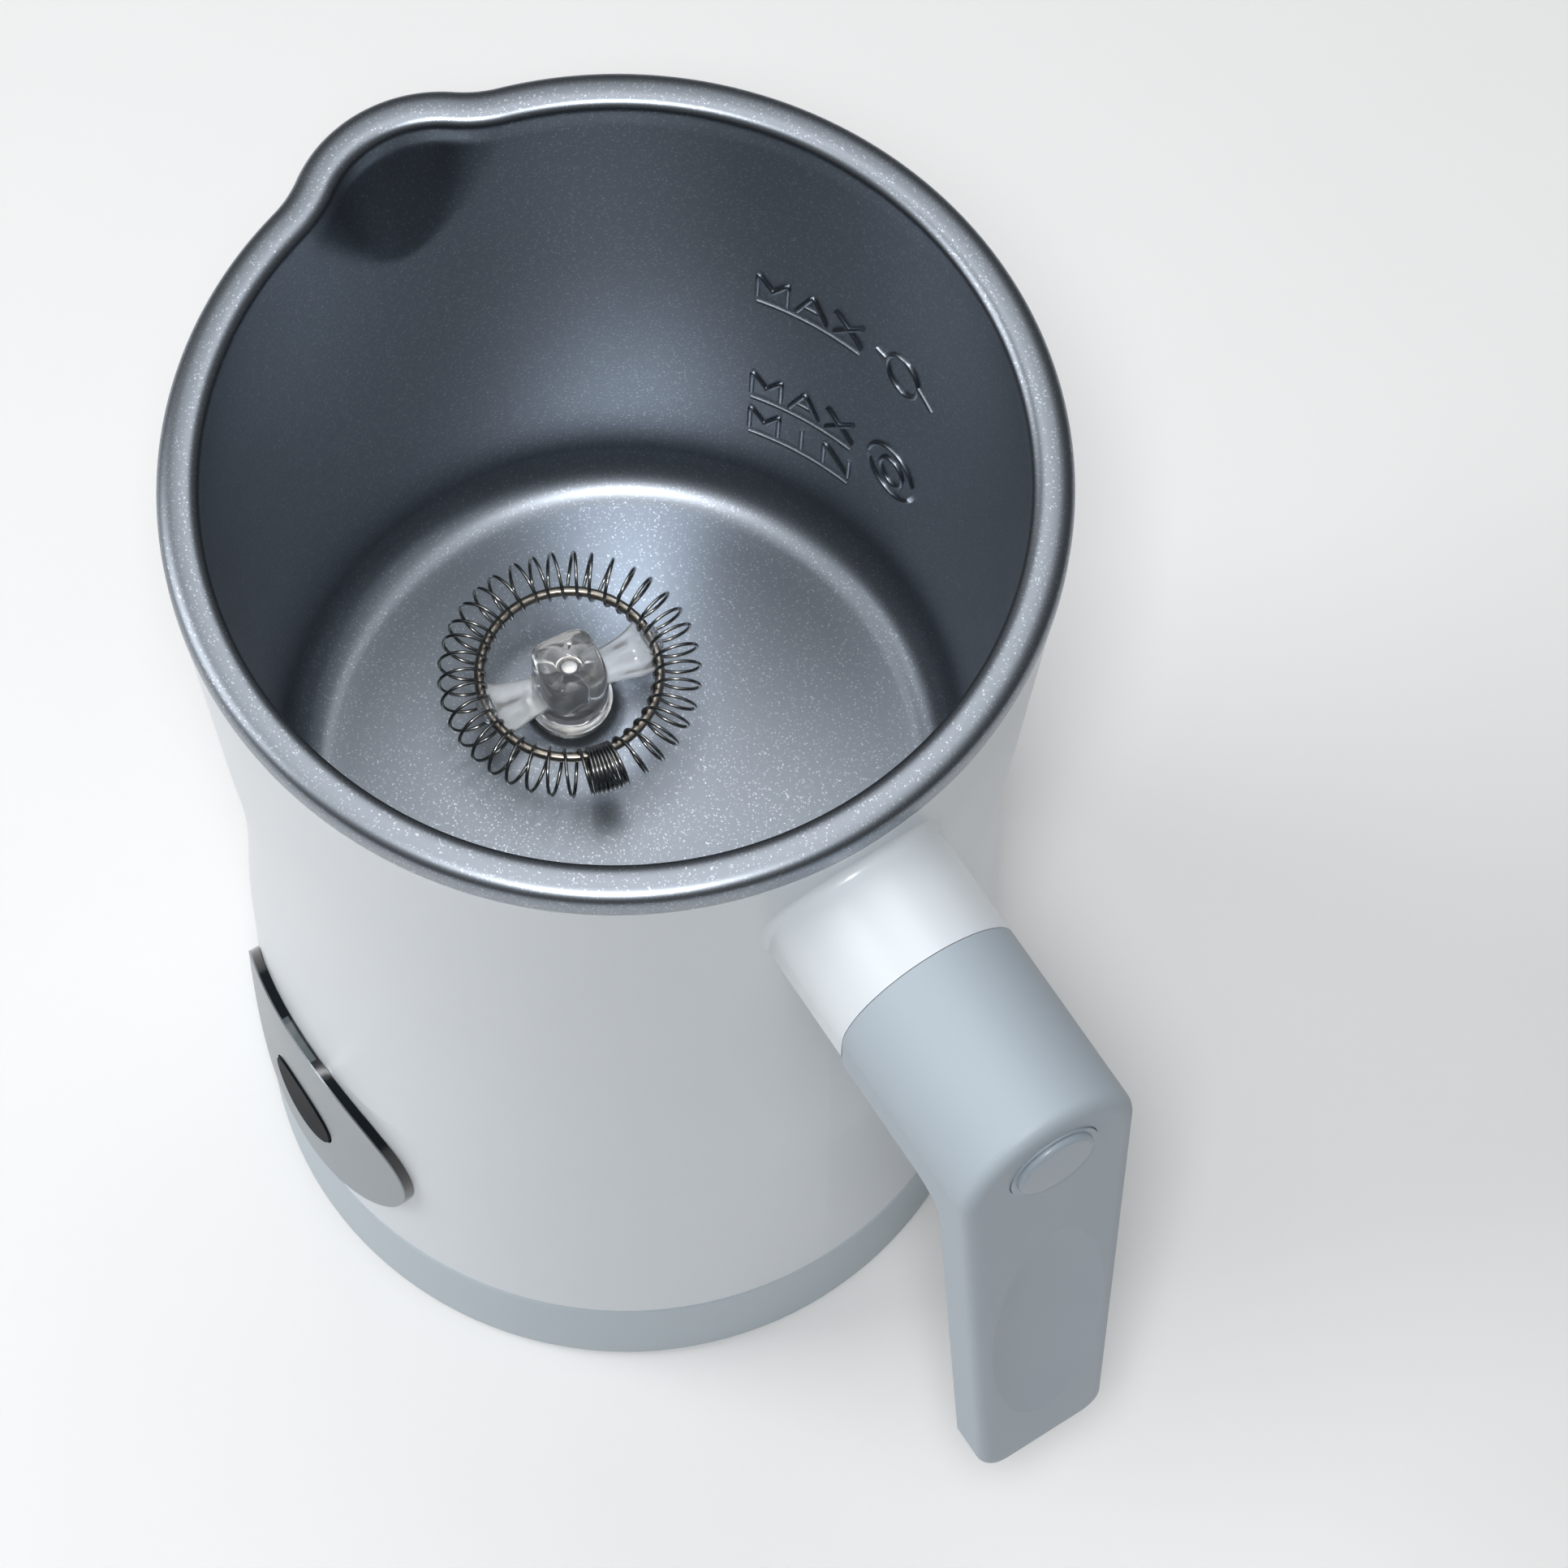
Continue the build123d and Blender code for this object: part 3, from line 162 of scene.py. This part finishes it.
def object_coords(tree):
    """The object's own coordinates, in metres."""
    return tree.nodes.new("ShaderNodeTexCoord").outputs["Object"]


def noise(tree, coords, scale, detail=2.0):
    """A noise texture's value."""
    node = tree.nodes.new("ShaderNodeTexNoise")
    node.inputs["Scale"].default_value = scale
    node.inputs["Detail"].default_value = detail
    tree.links.new(coords, node.inputs["Vector"])
    return node.outputs["Fac"]


def map_range(tree, value, low, high, to_low, to_high):
    """A value remapped from one range to another, held at the ends."""
    node = tree.nodes.new("ShaderNodeMapRange")
    node.inputs["From Min"].default_value = low
    node.inputs["From Max"].default_value = high
    node.inputs["To Min"].default_value = to_low
    node.inputs["To Max"].default_value = to_high
    tree.links.new(value, node.inputs["Value"])
    return node.outputs["Result"]


def mix_color(tree, factor, low, high):
    """A colour that goes from low to high with the factor."""
    node = tree.nodes.new("ShaderNodeMix")
    node.data_type = "RGBA"
    node.inputs["A"].default_value = (*low, 1.0)
    node.inputs["B"].default_value = (*high, 1.0)
    tree.links.new(factor, node.inputs["Factor"])
    return node.outputs["Result"]


def bump(tree, shader, height, strength, distance):
    """Surface relief from a height value."""
    node = tree.nodes.new("ShaderNodeBump")
    node.inputs["Strength"].default_value = strength
    node.inputs["Distance"].default_value = distance
    tree.links.new(height, node.inputs["Height"])
    tree.links.new(node.outputs["Normal"], shader.inputs["Normal"])


def moulded(name, color, roughness, grain, relief, tint=0.03, **inputs):
    """Moulded plastic or rubber: a fine grain, slight cloudiness and uneven gloss."""
    material, tree, shader = new_material(name, color, roughness, **inputs)
    coords = object_coords(tree)
    cloud = noise(tree, coords, 45.0, 3.0)
    darker = [c * (1 - tint) for c in color]
    lighter = [min(1.0, c * (1 + tint)) for c in color]
    tree.links.new(mix_color(tree, cloud, darker, lighter), shader.inputs["Base Color"])
    uneven = map_range(tree, cloud, 0.3, 0.7, roughness * 0.93, roughness * 1.07)
    tree.links.new(uneven, shader.inputs["Roughness"])
    bump(tree, shader, noise(tree, coords, grain), 0.3, relief)
    return material


def metal(name, color, roughness, scratch=1800.0, tint=0.06):
    """Bare metal with a fine uneven polish."""
    material, tree, shader = new_material(name, color, roughness, Metallic=1.0)
    coords = object_coords(tree)
    polish = noise(tree, coords, scratch, 3.0)
    darker = [c * (1 - tint) for c in color]
    tree.links.new(mix_color(tree, polish, darker, color), shader.inputs["Base Color"])
    uneven = map_range(tree, polish, 0.3, 0.7, roughness * 0.8, roughness * 1.2)
    tree.links.new(uneven, shader.inputs["Roughness"])
    return material


COATING_ROUGH = 0.38
FLAKE_SCALE = 6500.0


def flake_coating(name, dark, bright, share):
    """Non-stick coating: a dull metallic film with a share of its fine flakes bright."""
    material, tree, shader = new_material(name, dark, COATING_ROUGH, Metallic=1.0)
    coords = object_coords(tree)
    flakes = tree.nodes.new("ShaderNodeTexVoronoi")
    flakes.inputs["Scale"].default_value = FLAKE_SCALE
    tree.links.new(coords, flakes.inputs["Vector"])
    pick = tree.nodes.new("ShaderNodeSeparateColor")
    tree.links.new(flakes.outputs["Color"], pick.inputs["Color"])
    lit = map_range(tree, pick.outputs["Red"], 1.0 - share, 1.0, 0.0, 1.0)
    tree.links.new(mix_color(tree, lit, dark, bright), shader.inputs["Base Color"])
    tree.links.new(map_range(tree, lit, 0.0, 1.0, COATING_ROUGH, 0.3), shader.inputs["Roughness"])
    bump(tree, shader, pick.outputs["Green"], 0.12, 0.02 * MM)
    return material


def clear_plastic(name, clearness):
    """Clear or slightly cloudy moulded plastic with faint flow lines."""
    material, tree, shader = new_material(
        name, (0.93, 0.95, 0.97), 0.07, Transmission_Weight=clearness, IOR=1.33
    )
    coords = object_coords(tree)
    bump(tree, shader, noise(tree, coords, 260.0, 1.0), 0.25, 0.3 * MM)
    return material


WHITE = moulded("white_plastic", (0.70, 0.745, 0.785), 0.3, 2500.0, 0.004 * MM, 0.008)
BASE_GREY = moulded("grey_plastic", (0.50, 0.575, 0.62), 0.48, 2600.0, 0.02 * MM)
SOFT_GREY = moulded("soft_touch", (0.39, 0.45, 0.505), 0.5, 2600.0, 0.03 * MM)
CAP_GREY = moulded("cap_plastic", (0.34, 0.40, 0.455), 0.32, 2600.0, 0.01 * MM)
DARK = moulded("black_plastic", (0.02, 0.02, 0.022), 0.42, 2000.0, 0.03 * MM)
BEZEL = moulded("piano_black", (0.008, 0.011, 0.014), 0.1, 1200.0, 0.002 * MM)
PANEL = moulded("silver_lacquer", (0.26, 0.29, 0.315), 0.34, 3500.0, 0.008 * MM, Metallic=0.6)
BUTTON = moulded(
    "charcoal_button", (0.007, 0.009, 0.012), 0.6, 2000.0, 0.01 * MM, Specular_IOR_Level=0.08
)
RUBBER = moulded("black_rubber", (0.018, 0.018, 0.019), 0.8, 1800.0, 0.05 * MM)
NYLON = moulded("nylon", (0.55, 0.56, 0.55), 0.5, 1800.0, 0.03 * MM)
BOARD = moulded("board_green", (0.02, 0.13, 0.05), 0.4, 900.0, 0.03 * MM, 0.2)
BLACK = moulded("component_black", (0.015, 0.015, 0.016), 0.45, 2500.0, 0.02 * MM)
SLEEVE = moulded("lead_insulation", (0.45, 0.05, 0.03), 0.5, 1500.0, 0.02 * MM)
LENS = moulded("smoke_lens", (0.09, 0.11, 0.12), 0.08, 900.0, 0.003 * MM)
STEEL = metal("screw_steel", (0.56, 0.57, 0.58), 0.3)
SPINDLE = metal("spindle_steel", (0.58, 0.56, 0.53), 0.22)
WIRE = metal("whisk_wire", (0.30, 0.30, 0.285), 0.22)
RING = metal("ring_wire", (0.31, 0.28, 0.24), 0.32)
BRASS = metal("contact_brass", (0.72, 0.52, 0.22), 0.3)
ALUMINIUM = metal("heater_aluminium", (0.66, 0.67, 0.68), 0.42)
COATING = flake_coating("flake_coating", (0.265, 0.293, 0.33), (0.5, 0.54, 0.6), 0.1)
CLEAR = clear_plastic("clear_plastic", 0.92)
CLOUDY = clear_plastic("cloudy_plastic", 0.66)

PAINT = {
    "white_shell": WHITE,
    "cup_coating": COATING,
    "rim_seal_rubber": RUBBER,
    "grey_body": BASE_GREY,
    "grey_soft_touch": SOFT_GREY,
    "handle_cap_plastic": CAP_GREY,
    "dark_plastic": DARK,
    "foot_rubber": RUBBER,
    "screw_steel": STEEL,
    "contact_brass": BRASS,
    "motor_steel": STEEL,
    "spindle_steel": SPINDLE,
    "nylon": NYLON,
    "heater_aluminium": ALUMINIUM,
    "board_green": BOARD,
    "component_black": BLACK,
    "lead_insulation": SLEEVE,
    "lens_smoke": LENS,
    "bezel_black": BEZEL,
    "panel_silver": PANEL,
    "button_black": BUTTON,
    "clear_plastic": CLEAR,
    "whisk_wire": WIRE,
}


def paint_nodes():
    """Gives each CAD node the material of its slot in the record."""
    for part in frame["record"]["subparts"]:
        materials = nodes[part["node"]].data.materials
        materials.clear()
        materials.append(PAINT[part["material_slot"]])


# ------------------------------------------------------------------ cup
def spout_outline(turn, main_r, spout_r, blend_r, reach):
    """Distance from the axis to a round outline with a blended spout, turn radians from its tip."""
    turn = abs(turn)
    if reach + spout_r <= main_r:
        return main_r
    far = main_r + blend_r
    near = spout_r + blend_r
    blend_x = (reach**2 - near**2 + far**2) / (2 * reach)
    blend_turn = math.acos(min(1.0, blend_x / far))
    if turn >= blend_turn:
        return main_r
    blend_y = far * math.sin(blend_turn)
    share = spout_r / near
    if turn >= math.atan2(blend_y * share, reach + (blend_x - reach) * share):
        off = far * math.sin(blend_turn - turn)
        return far * math.cos(blend_turn - turn) - math.sqrt(blend_r**2 - off**2)
    return reach * math.cos(turn) + math.sqrt(spout_r**2 - (reach * math.sin(turn)) ** 2)


def wall_r(z):
    """Inner radius of the cup's tapered wall at a height."""
    return FLOOR_R + TAPER * (z - FLOOR_Z)


CUP_COUNT = 540
CUP_TURNS = [math.tau * i / CUP_COUNT for i in range(CUP_COUNT)]


def cup_row(z, radius_at, centre=0.0):
    """One loop round the cup; angles run from the spout's tip."""
    row = []
    for turn in CUP_TURNS:
        radius = radius_at(turn)
        row.append((centre - radius * math.cos(turn), -radius * math.sin(turn), z))
    return row


def rim_row(inset, z):
    """A loop of the rim, inset from its outer outline."""
    return cup_row(
        z,
        lambda turn: spout_outline(
            (turn + math.pi) % math.tau - math.pi,
            RIM_R - inset,
            SPOUT_R - inset,
            SPOUT_BLEND + inset,
            SPOUT_REACH,
        ),
    )


def wall_row(z, grow):
    """A loop of the wall, where the spout's channel leans inwards as it goes down."""
    depth = max(0.0, RIM_UNDER - z)
    return cup_row(
        z,
        lambda turn: spout_outline(
            (turn + math.pi) % math.tau - math.pi,
            wall_r(min(z, RIM_UNDER)) + grow,
            SPOUT_R - RIM_W + grow,
            SPOUT_BLEND + RIM_W - grow,
            SPOUT_REACH - SPOUT_TILT * depth,
        ),
    )


def floor_rows(z, from_r, hole_r, count):
    """Loops across the floor, from the fillet's foot to the hole round the spindle."""
    rows = []
    for share in spread(0.0, 1.0, count):
        radius = from_r + (hole_r - from_r) * share
        rows.append(cup_row(z, lambda turn: radius, WHISK_X * share))
    return rows


def side_rows(grow, top_z):
    """Loops down one side of the wall and round its foot, and the radius where the foot ends."""
    floor_z = FLOOR_Z - grow
    fillet_r = FLOOR_FILLET + grow
    start_z = floor_z + fillet_r
    channel_end = RIM_UNDER - 19 * MM
    rows = [wall_row(z, grow) for z in spread(top_z, channel_end, 34)]
    rows += [wall_row(z, grow) for z in spread(channel_end, start_z, 16)[1:]]
    foot_r = wall_r(start_z) + grow - fillet_r
    for angle in spread(0.0, math.pi / 2, 12)[1:]:
        radius = foot_r + fillet_r * math.cos(angle)
        z = start_z - fillet_r * math.sin(angle)
        rows.append(cup_row(z, lambda turn: radius))
    return rows, foot_r


def build_cup():
    """The coated cup with its rolled rim, spout and spindle hole, as one closed skin."""
    bead_z = RIM_TOP - RIM_CROWN - RIM_TILT / 3
    inside, inner_foot = side_rows(0.0, bead_z - 0.1 * MM)
    outside, outer_foot = side_rows(CUP_WALL, RIM_UNDER - 0.3 * MM)
    rows = floor_rows(FLOOR_Z, inner_foot, SPINDLE_HOLE_R, 12)[::-1]
    rows += inside[:-1][::-1]
    for angle in spread(0.0, math.pi, 33):
        across = math.copysign(abs(math.cos(angle)) ** RIM_POWER, math.cos(angle))
        rise = RIM_CROWN * math.sin(angle) ** RIM_POWER + RIM_TILT * across
        rows.append(rim_row(RIM_BEAD + RIM_BEAD * across, bead_z + rise))
    edge_z = RIM_UNDER + RIM_EDGE_R
    for angle in spread(0.0, math.pi / 2, 7):
        inset = RIM_EDGE_R - RIM_EDGE_R * math.cos(angle)
        rows.append(rim_row(inset, edge_z - RIM_EDGE_R * math.sin(angle)))
    rows.append(rim_row(RIM_W - CUP_WALL - 0.2 * MM, RIM_UNDER))
    rows += outside[:-1]
    rows += floor_rows(FLOOR_Z - CUP_WALL, outer_foot, SPINDLE_HOLE_R, 12)
    verts, faces = skin(rows, closed=True)
    cup = mesh_piece("coated_cup", verts, faces, "jug", COATING)
    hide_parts("inner_cup")


# ------------------------------------------------------------------ level marks on the cup's wall
LETTERS = {
    "M": [[(0, 0), (0, 1), (0.5, 0.35), (1, 1), (1, 0)]],
    "A": [[(0, 0), (0.5, 1), (1, 0)], [(0.22, 0.36), (0.78, 0.36)]],
    "X": [[(0, 0), (1, 1)], [(0, 1), (1, 0)]],
    "I": [[(0.5, 0), (0.5, 1)]],
    "N": [[(0, 0), (0, 1), (1, 0), (1, 1)]],
}
MARK_TURN = 125.6
LETTER_W = 3.8 * MM
LETTER_H = 4.6 * MM
LETTER_STEP = 5.1 * MM
MARK_LINE_GAP = 1.5 * MM
MARK_WIRE = 0.34 * MM
MARKS = [("MAX", 134.5 * MM), ("MAX", 111.0 * MM), ("MIN", 102.3 * MM)]


def on_wall(along, z):
    """A point on the wall, a distance along it from the marks' left edge."""
    turn = math.radians(MARK_TURN) - along / wall_r(z)
    radius = wall_r(z) - 0.05 * MM
    return (radius * math.cos(turn), radius * math.sin(turn), z)


def stroke(points):
    """A stroke's points on the wall, close enough together to follow its curve."""
    path = []
    for (x0, z0), (x1, z1) in zip(points, points[1:]):
        steps = max(2, int(math.dist((x0, z0), (x1, z1)) / (0.6 * MM)))
        shares = [i / steps for i in range(steps)]
        path += [on_wall(x0 + (x1 - x0) * s, z0 + (z1 - z0) * s) for s in shares]
    path.append(on_wall(*points[-1]))
    return path


def oval(centre_x, centre_z, half_w, half_h, start=0, stop=360):
    """Points of an oval arc in wall distances."""
    angles = [math.radians(a) for a in spread(start, stop, 33)]
    return [(centre_x + half_w * math.cos(a), centre_z + half_h * math.sin(a)) for a in angles]


def build_level_marks():
    """Raised fill levels with their lines, and the whisk and heat signs beside them."""
    paths = []
    for word, line_z in MARKS:
        paths.append(stroke([(0, line_z), (2 * LETTER_STEP + LETTER_W, line_z)]))
        for place, letter in enumerate(word):
            for points in LETTERS[letter]:
                shaped = [
                    (place * LETTER_STEP + x * LETTER_W, line_z + MARK_LINE_GAP + z * LETTER_H)
                    for x, z in points
                ]
                paths.append(stroke(shaped))
    sign_x = 20.6 * MM
    froth_z = 138.0 * MM
    heat_z = 114.4 * MM
    paths.append(stroke([(16.2 * MM, 139.0 * MM), (18.0 * MM, froth_z + 0.6 * MM)]))
    paths.append(stroke(oval(sign_x, froth_z, 2.6 * MM, 3.6 * MM)))
    paths.append(stroke([(23.0 * MM, froth_z + 1.0 * MM), (26.0 * MM, froth_z - 0.6 * MM)]))
    paths.append(stroke(oval(sign_x, heat_z, 3.9 * MM, 4.9 * MM, 20, 170)))
    paths.append(stroke(oval(sign_x, heat_z, 3.9 * MM, 4.9 * MM, 190, 340)))
    paths.append(stroke(oval(sign_x, heat_z, 1.9 * MM, 2.6 * MM)))
    wire_piece("level_marks", paths, MARK_WIRE, False, "jug", COATING, 3)


# ------------------------------------------------------------------ whisk
BUNCH_FROM = -22.0
BUNCH_TO = -6.0
BUNCH_LOOPS = 8
OPEN_LOOPS = 36
LOOP_POINTS = 30


def loop_turn(t):
    """Angle round the whisk after t loops of the spring, degrees."""
    if t < BUNCH_LOOPS:
        return BUNCH_FROM + (BUNCH_TO - BUNCH_FROM) * t / BUNCH_LOOPS
    wobble = 0.7 * math.sin(2.3 * t) + 0.5 * math.sin(0.9 * t)
    ends = math.sin(math.pi * (t - BUNCH_LOOPS) / OPEN_LOOPS)
    gap = 360 - (BUNCH_TO - BUNCH_FROM)
    return BUNCH_TO + gap * (t - BUNCH_LOOPS) / OPEN_LOOPS + wobble * ends


def around(turn_deg, radius, z):
    """A point round the whisk's axis."""
    turn = math.radians(turn_deg)
    return (WHISK_X + radius * math.cos(turn), radius * math.sin(turn), z)


def build_spring():
    """The whisk's spring: a fine wire wound round the ring, with one tight bunch."""
    path = []
    for i in range((BUNCH_LOOPS + OPEN_LOOPS) * LOOP_POINTS):
        t = i / LOOP_POINTS
        phase = -math.tau * t
        radius = COIL_R + COIL_TURN_R * math.cos(phase)
        path.append(around(loop_turn(t), radius, RING_Z + COIL_TURN_R * math.sin(phase)))
    coil = wire_piece("spring_coil", [path], COIL_WIRE, True, "whisk", WIRE)
    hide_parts("whisk_spring")


def build_ring():
    """The stout ring that the spring is threaded on."""
    path = [around(turn, RING_R, RING_Z) for turn in range(0, 360, 2)]
    ring = wire_piece("coil_ring", [path], RING_WIRE, True, "whisk", RING, 5)
    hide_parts("whisk_ring")


def squircle(size, power, z, count=72):
    """A loop between a circle, power 2, and a square with soft corners, higher powers."""
    row = []
    for i in range(count):
        a = math.tau * i / count
        reach = (abs(math.cos(a)) ** power + abs(math.sin(a)) ** power) ** (-1 / power)
        row.append(around(math.degrees(a) + ARM_TURN, size * reach, z))
    return row


def build_hub():
    """The clear hub: a round foot, a square boss with a dimple, and the spindle's socket."""
    low = HUB_LOW.z
    top = HUB_HIGH.z
    socket = 1.56 * MM
    shelf = low + 5.0 * MM
    profile = [
        (0.4 * MM, 2, top - 2.4 * MM),
        (socket, 2, top - 2.5 * MM),
        (socket, 2, low + 0.3 * MM),
        (socket + 0.3 * MM, 2, low),
        (4.4 * MM, 2, low),
        (4.7 * MM, 2, low + 0.25 * MM),
        (4.75 * MM, 2, low + 0.6 * MM),
        (4.75 * MM, 2, shelf - 0.9 * MM),
        (4.6 * MM, 2, shelf - 0.4 * MM),
        (4.45 * MM, 2.2, shelf - 0.1 * MM),
        (4.25 * MM, 2.8, shelf),
        (4.1 * MM, 3.4, shelf + 0.25 * MM),
        (4.05 * MM, 4.0, shelf + 0.8 * MM),
        (3.95 * MM, 4.0, top - 0.8 * MM),
        (3.75 * MM, 4.0, top - 0.3 * MM),
        (3.35 * MM, 3.6, top - 0.05 * MM),
        (2.8 * MM, 3.0, top),
        (1.95 * MM, 2.2, top - 0.1 * MM),
        (1.7 * MM, 2, top - 0.5 * MM),
        (1.2 * MM, 2, top - 0.9 * MM),
        (0.4 * MM, 2, top - 1.0 * MM),
    ]
    rows = [squircle(size, power, z) for size, power, z in profile]
    verts, faces = skin(rows, caps=True)
    hub = mesh_piece("clear_hub", verts, faces, "whisk", CLEAR)
    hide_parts("whisk_hub")


ARM_ROOT = 3.6 * MM
ARM_END = 10.6 * MM
ARM_HALF_T = 0.45 * MM
ARM_DROP = 2.3 * MM
ARM_RIPPLE = 0.35 * MM
ARM_CLIMB = 1.3 * MM
CLIP_R = 1.1 * MM
CLIP_HALF_TURN = 9


def arm_point(reach, across, lift, turn):
    """A point of an arm: reach from the axis, across its width and lift over its middle."""
    half_w = (2.2 + 1.5 * max(0.0, (reach / MM - 4.0) / 7.0) ** 1.5) * MM
    x = reach * math.cos(math.asin(min(0.9, half_w * across / reach)))
    wave = ARM_RIPPLE * math.sin(4.6 * across + 0.5) * min(1.0, (reach / MM - 3.4) / 4.0)
    climb = 1.0 * MM * max(0.0, (reach / MM - 8.2) / 2.2) ** 2
    z = RING_Z - ARM_DROP + wave + min(climb, ARM_CLIMB) + lift
    y = half_w * across
    angle = math.radians(turn)
    return (
        WHISK_X + x * math.cos(angle) - y * math.sin(angle),
        x * math.sin(angle) + y * math.cos(angle),
        z,
    )


def build_arms():
    """Two wavy fan-shaped arms that carry the ring."""
    for index, turn in enumerate((ARM_TURN, ARM_TURN + 180)):
        rows = []
        for reach in spread(ARM_ROOT, ARM_END, 22):
            top = [arm_point(reach, a, ARM_HALF_T, turn) for a in spread(-1, 1, 19)]
            under = [arm_point(reach, a, -ARM_HALF_T, turn) for a in spread(1, -1, 19)]
            rows.append(top + under)
        verts, faces = skin(rows, caps=True)
        name = f"clear_arm_{index}"
        mesh_piece(name, verts, faces, "whisk", CLOUDY)


def build_clips():
    """Clear sleeves that hold the ring at the end of each arm."""
    for index, turn in enumerate((ARM_TURN, ARM_TURN + 180)):
        rows = []
        for along in spread(-1, 1, 15):
            size = CLIP_R * (1 - 0.35 * abs(along) ** 6)
            clip_turn = turn + CLIP_HALF_TURN * along
            row = []
            for i in range(20):
                a = math.tau * i / 20
                radius = RING_R + size * math.cos(a)
                row.append(around(clip_turn, radius, RING_Z + size * math.sin(a)))
            rows.append(row)
        verts, faces = skin(rows, caps=True)
        mesh_piece(f"ring_clip_{index}", verts, faces, "whisk", CLEAR)


# ------------------------------------------------------------------ camera, light and floor
CAMERA_AZIMUTH = 58.0
CAMERA_TILT = 22.0
CAMERA_ROLL = -0.67
CAMERA_PLACE = (0.2127, -0.1295, 0.6995)
LENS = 124.3
SHIFT_X = 0.088
WORLD_STRENGTH = 0.1
# name, place, target, size, power
SOFTBOXES = [
    ("overhead", (-0.32, 0.22, 1.15), (0, 0, 0.09), 0.6, 2.1),
    ("top", (0.0, 0.0, 1.3), (0, 0, 0.09), 0.9, 2.2),
    ("flash", (0.24, -0.17, 0.85), (0, 0, 0.1), 0.1, 3.1),
    ("left_low", (-0.65, -0.95, 0.55), (0, 0, 0.08), 0.6, 3.0),
    ("left_high", (-0.55, -0.75, 1.0), (0, 0, 0.08), 0.6, 4.6),
]
FLOOR_SIZE = 6.0


def add_camera():
    """The camera, high beside the handle and looking steeply down into the cup."""
    data = bpy.data.cameras.new("camera")
    data.lens = LENS
    data.sensor_width = 36.0
    data.shift_x = SHIFT_X
    data.clip_end = 20.0
    camera = bpy.data.objects.new("camera", data)
    turn = Matrix.Rotation(math.radians(CAMERA_AZIMUTH), 4, "Z")
    turn = turn @ Matrix.Rotation(math.radians(CAMERA_TILT), 4, "X")
    turn = turn @ Matrix.Rotation(math.radians(CAMERA_ROLL), 4, "Z")
    camera.matrix_world = Matrix.Translation(CAMERA_PLACE) @ turn
    bpy.context.scene.collection.objects.link(camera)
    bpy.context.scene.camera = camera


def add_softbox(name, place, target, size, power):
    """A square softbox that faces a point."""
    data = bpy.data.lights.new(name, "AREA")
    data.shape = "SQUARE"
    data.size = size
    data.energy = power
    light = bpy.data.objects.new(name, data)
    light.location = place
    light.rotation_euler = (Vector(target) - Vector(place)).to_track_quat("-Z", "Y").to_euler()
    bpy.context.scene.collection.objects.link(light)


def add_world():
    """Even pale light from all round."""
    world = bpy.data.worlds.new("world")
    bpy.context.scene.world = world
    world.use_nodes = True
    background = world.node_tree.nodes["Background"]
    background.inputs["Color"].default_value = (0.92, 0.96, 1.0, 1.0)
    background.inputs["Strength"].default_value = WORLD_STRENGTH


def add_floor():
    """A plain pale table under the frother."""
    bpy.ops.mesh.primitive_plane_add(size=FLOOR_SIZE, location=(0, 0, 0))
    floor = bpy.context.object
    floor.name = "floor"
    material, tree, shader = new_material("floor", (0.94, 0.94, 0.94), 0.9)
    shade = noise(tree, object_coords(tree), 30.0)
    tint = mix_color(tree, shade, (0.93, 0.93, 0.93), (0.95, 0.95, 0.95))
    tree.links.new(tint, shader.inputs["Base Color"])
    floor.data.materials.append(material)


paint_nodes()
build_cup()
build_level_marks()
build_spring()
build_ring()
build_hub()
build_arms()
build_clips()
add_camera()
add_world()
for softbox in SOFTBOXES:
    add_softbox(*softbox)
add_floor()
bpy.context.scene.view_settings.view_transform = "Standard"
